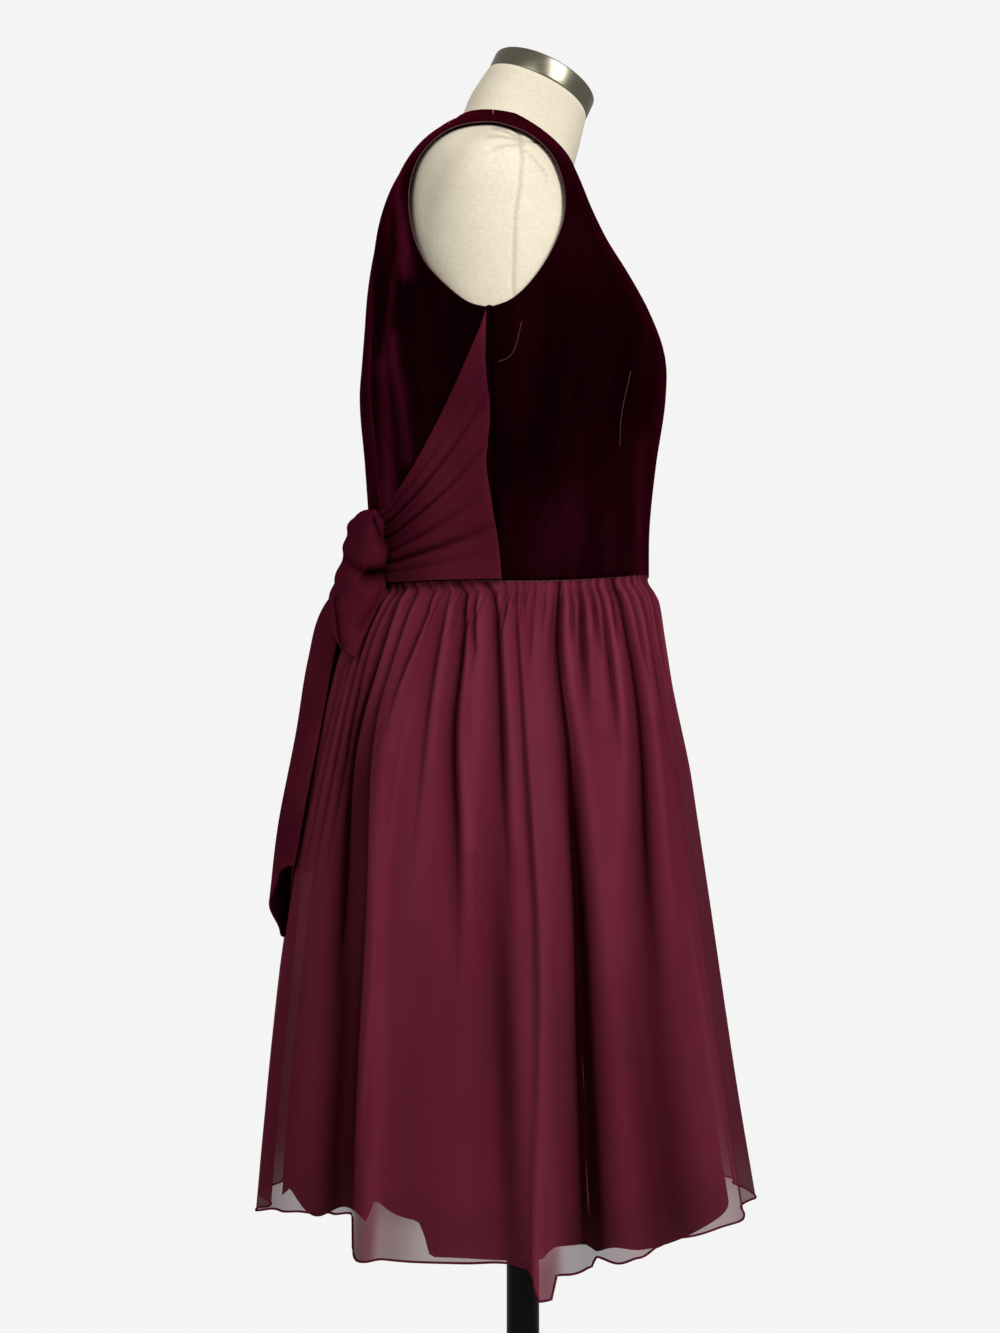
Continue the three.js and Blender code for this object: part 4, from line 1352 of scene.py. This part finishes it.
def bowTail(name, node, mirror):
    bm = gridBmesh(
        tail["columns"],
        tail["rows"],
        lambda u, v: tailPoint(2 * u - 1, 1 - v),
        fold=lambda u, v: tail["edgeDark"] * abs(2 * u - 1) * (1 - v) ** 0.3,
    )
    piece = toObject(name, mirrorBmesh(bm) if mirror else bm, crepe)
    thicken(piece, tail["wall"], 0)
    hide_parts(node)


def bowKnot():
    bm = bmesh.new()
    bmesh.ops.create_uvsphere(bm, u_segments=48, v_segments=32, radius=1)
    for vert in bm.verts:
        turn = math.atan2(vert.co.z, vert.co.x)
        pleat = 1 + bow["knotPleatDepth"] * math.sin(bow["knotPleats"] * turn) * (1 - abs(vert.co.y))
        vert.co = Vector(c * s * pleat for c, s in zip(vert.co, bow["knotSize"]))
        vert.co += Vector((0, bow["knotY"], bow["knotHeight"]))
    knot = toObject("bowKnot", bm, crepe)
    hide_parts("bow_knot")


bowKnot()
bowLoop("loopRight", "bow_loop_right", False)
bowLoop("loopLeft", "bow_loop_left", True)
bowTail("tailRight", "bow_tail_right", False)
bowTail("tailLeft", "bow_tail_left", True)
print("bow made")


# camera, light and floor

view = dict(distance=1600, y=19, height=731, pitch=7.3, focal=1864, frameHeight=1333)


def addCamera():
    camera = bpy.data.objects.new("camera", bpy.data.cameras.new("camera"))
    camera.data.lens = view["focal"] / view["frameHeight"] * camera.data.sensor_width
    camera.location = Vector((-view["distance"], view["y"], view["height"])) * mm + pole
    camera.rotation_euler = (math.radians(90 + view["pitch"]), 0, math.radians(-90))
    bpy.context.scene.collection.objects.link(camera)
    bpy.context.scene.camera = camera


def addSoftbox(name, place, size, power, aim=(0, 0, 0.9)):
    lamp = bpy.data.objects.new(name, bpy.data.lights.new(name, "AREA"))
    lamp.data.shape = "RECTANGLE"
    lamp.data.size, lamp.data.size_y = size
    lamp.data.energy = power
    lamp.location = place
    lamp.rotation_euler = (Vector(aim) - Vector(place)).to_track_quat("-Z", "Y").to_euler()
    bpy.context.scene.collection.objects.link(lamp)


def addFloor():
    # pale paper that fades out before its edge
    settings = dict(radius=1.5, below=0.0005, grey=0.86, solid=0.55, gone=1.0)
    bm = bmesh.new()
    bmesh.ops.create_circle(bm, cap_ends=True, segments=96, radius=settings["radius"])
    mesh = bpy.data.meshes.new("floor")
    bm.to_mesh(mesh)
    bm.free()
    floor = bpy.data.objects.new("floor", mesh)
    floor.location.z = -settings["below"]
    paper = (settings["grey"],) * 3 + (1,)
    finish = Finish("floorPaper", **{"Base Color": paper, "Roughness": 0.9, "Specular IOR Level": 0.1})
    spot = finish.node("ShaderNodeTexCoord", {}, {})
    spot = Wire(finish, spot.socket.node.outputs["Object"])
    away = finish.node("ShaderNodeVectorMath", {"operation": "LENGTH"}, {0: spot}, output=1)
    finish.set(Alpha=finish.ramp(away, (settings["solid"], (1, 1, 1)), (settings["gone"], (0, 0, 0))))
    mesh.materials.append(finish.material)
    bpy.context.scene.collection.objects.link(floor)


def addWorld():
    # the backdrop that the camera sees is plainer than the light that falls on the piece
    settings = dict(backdrop=(0.905, 0.905, 0.905, 1), light=(1, 0.99, 0.97, 1), strength=0.34)
    world = bpy.data.worlds.new("studio")
    bpy.context.scene.world = world
    world.use_nodes = True
    tree = world.node_tree
    tree.nodes.clear()
    output = tree.nodes.new("ShaderNodeOutputWorld")
    seen = tree.nodes.new("ShaderNodeBackground")
    seen.inputs["Color"].default_value = settings["backdrop"]
    lit = tree.nodes.new("ShaderNodeBackground")
    lit.inputs["Color"].default_value = settings["light"]
    lit.inputs["Strength"].default_value = settings["strength"]
    path = tree.nodes.new("ShaderNodeLightPath")
    choose = tree.nodes.new("ShaderNodeMixShader")
    tree.links.new(path.outputs["Is Camera Ray"], choose.inputs[0])
    tree.links.new(lit.outputs[0], choose.inputs[1])
    tree.links.new(seen.outputs[0], choose.inputs[2])
    tree.links.new(choose.outputs[0], output.inputs["Surface"])


addCamera()
addSoftbox("keyLight", (-1.9, -1.35, 2.1), (1.2, 1.6), 54)
addSoftbox("fillLight", (-2.3, 1.0, 1.5), (1.2, 1.8), 17)
addSoftbox("rimLight", (1.7, 1.2, 1.8), (1.2, 1.6), 22)
addFloor()
addWorld()
bpy.context.scene.view_settings.view_transform = "Standard"
print("camera, light and floor set")
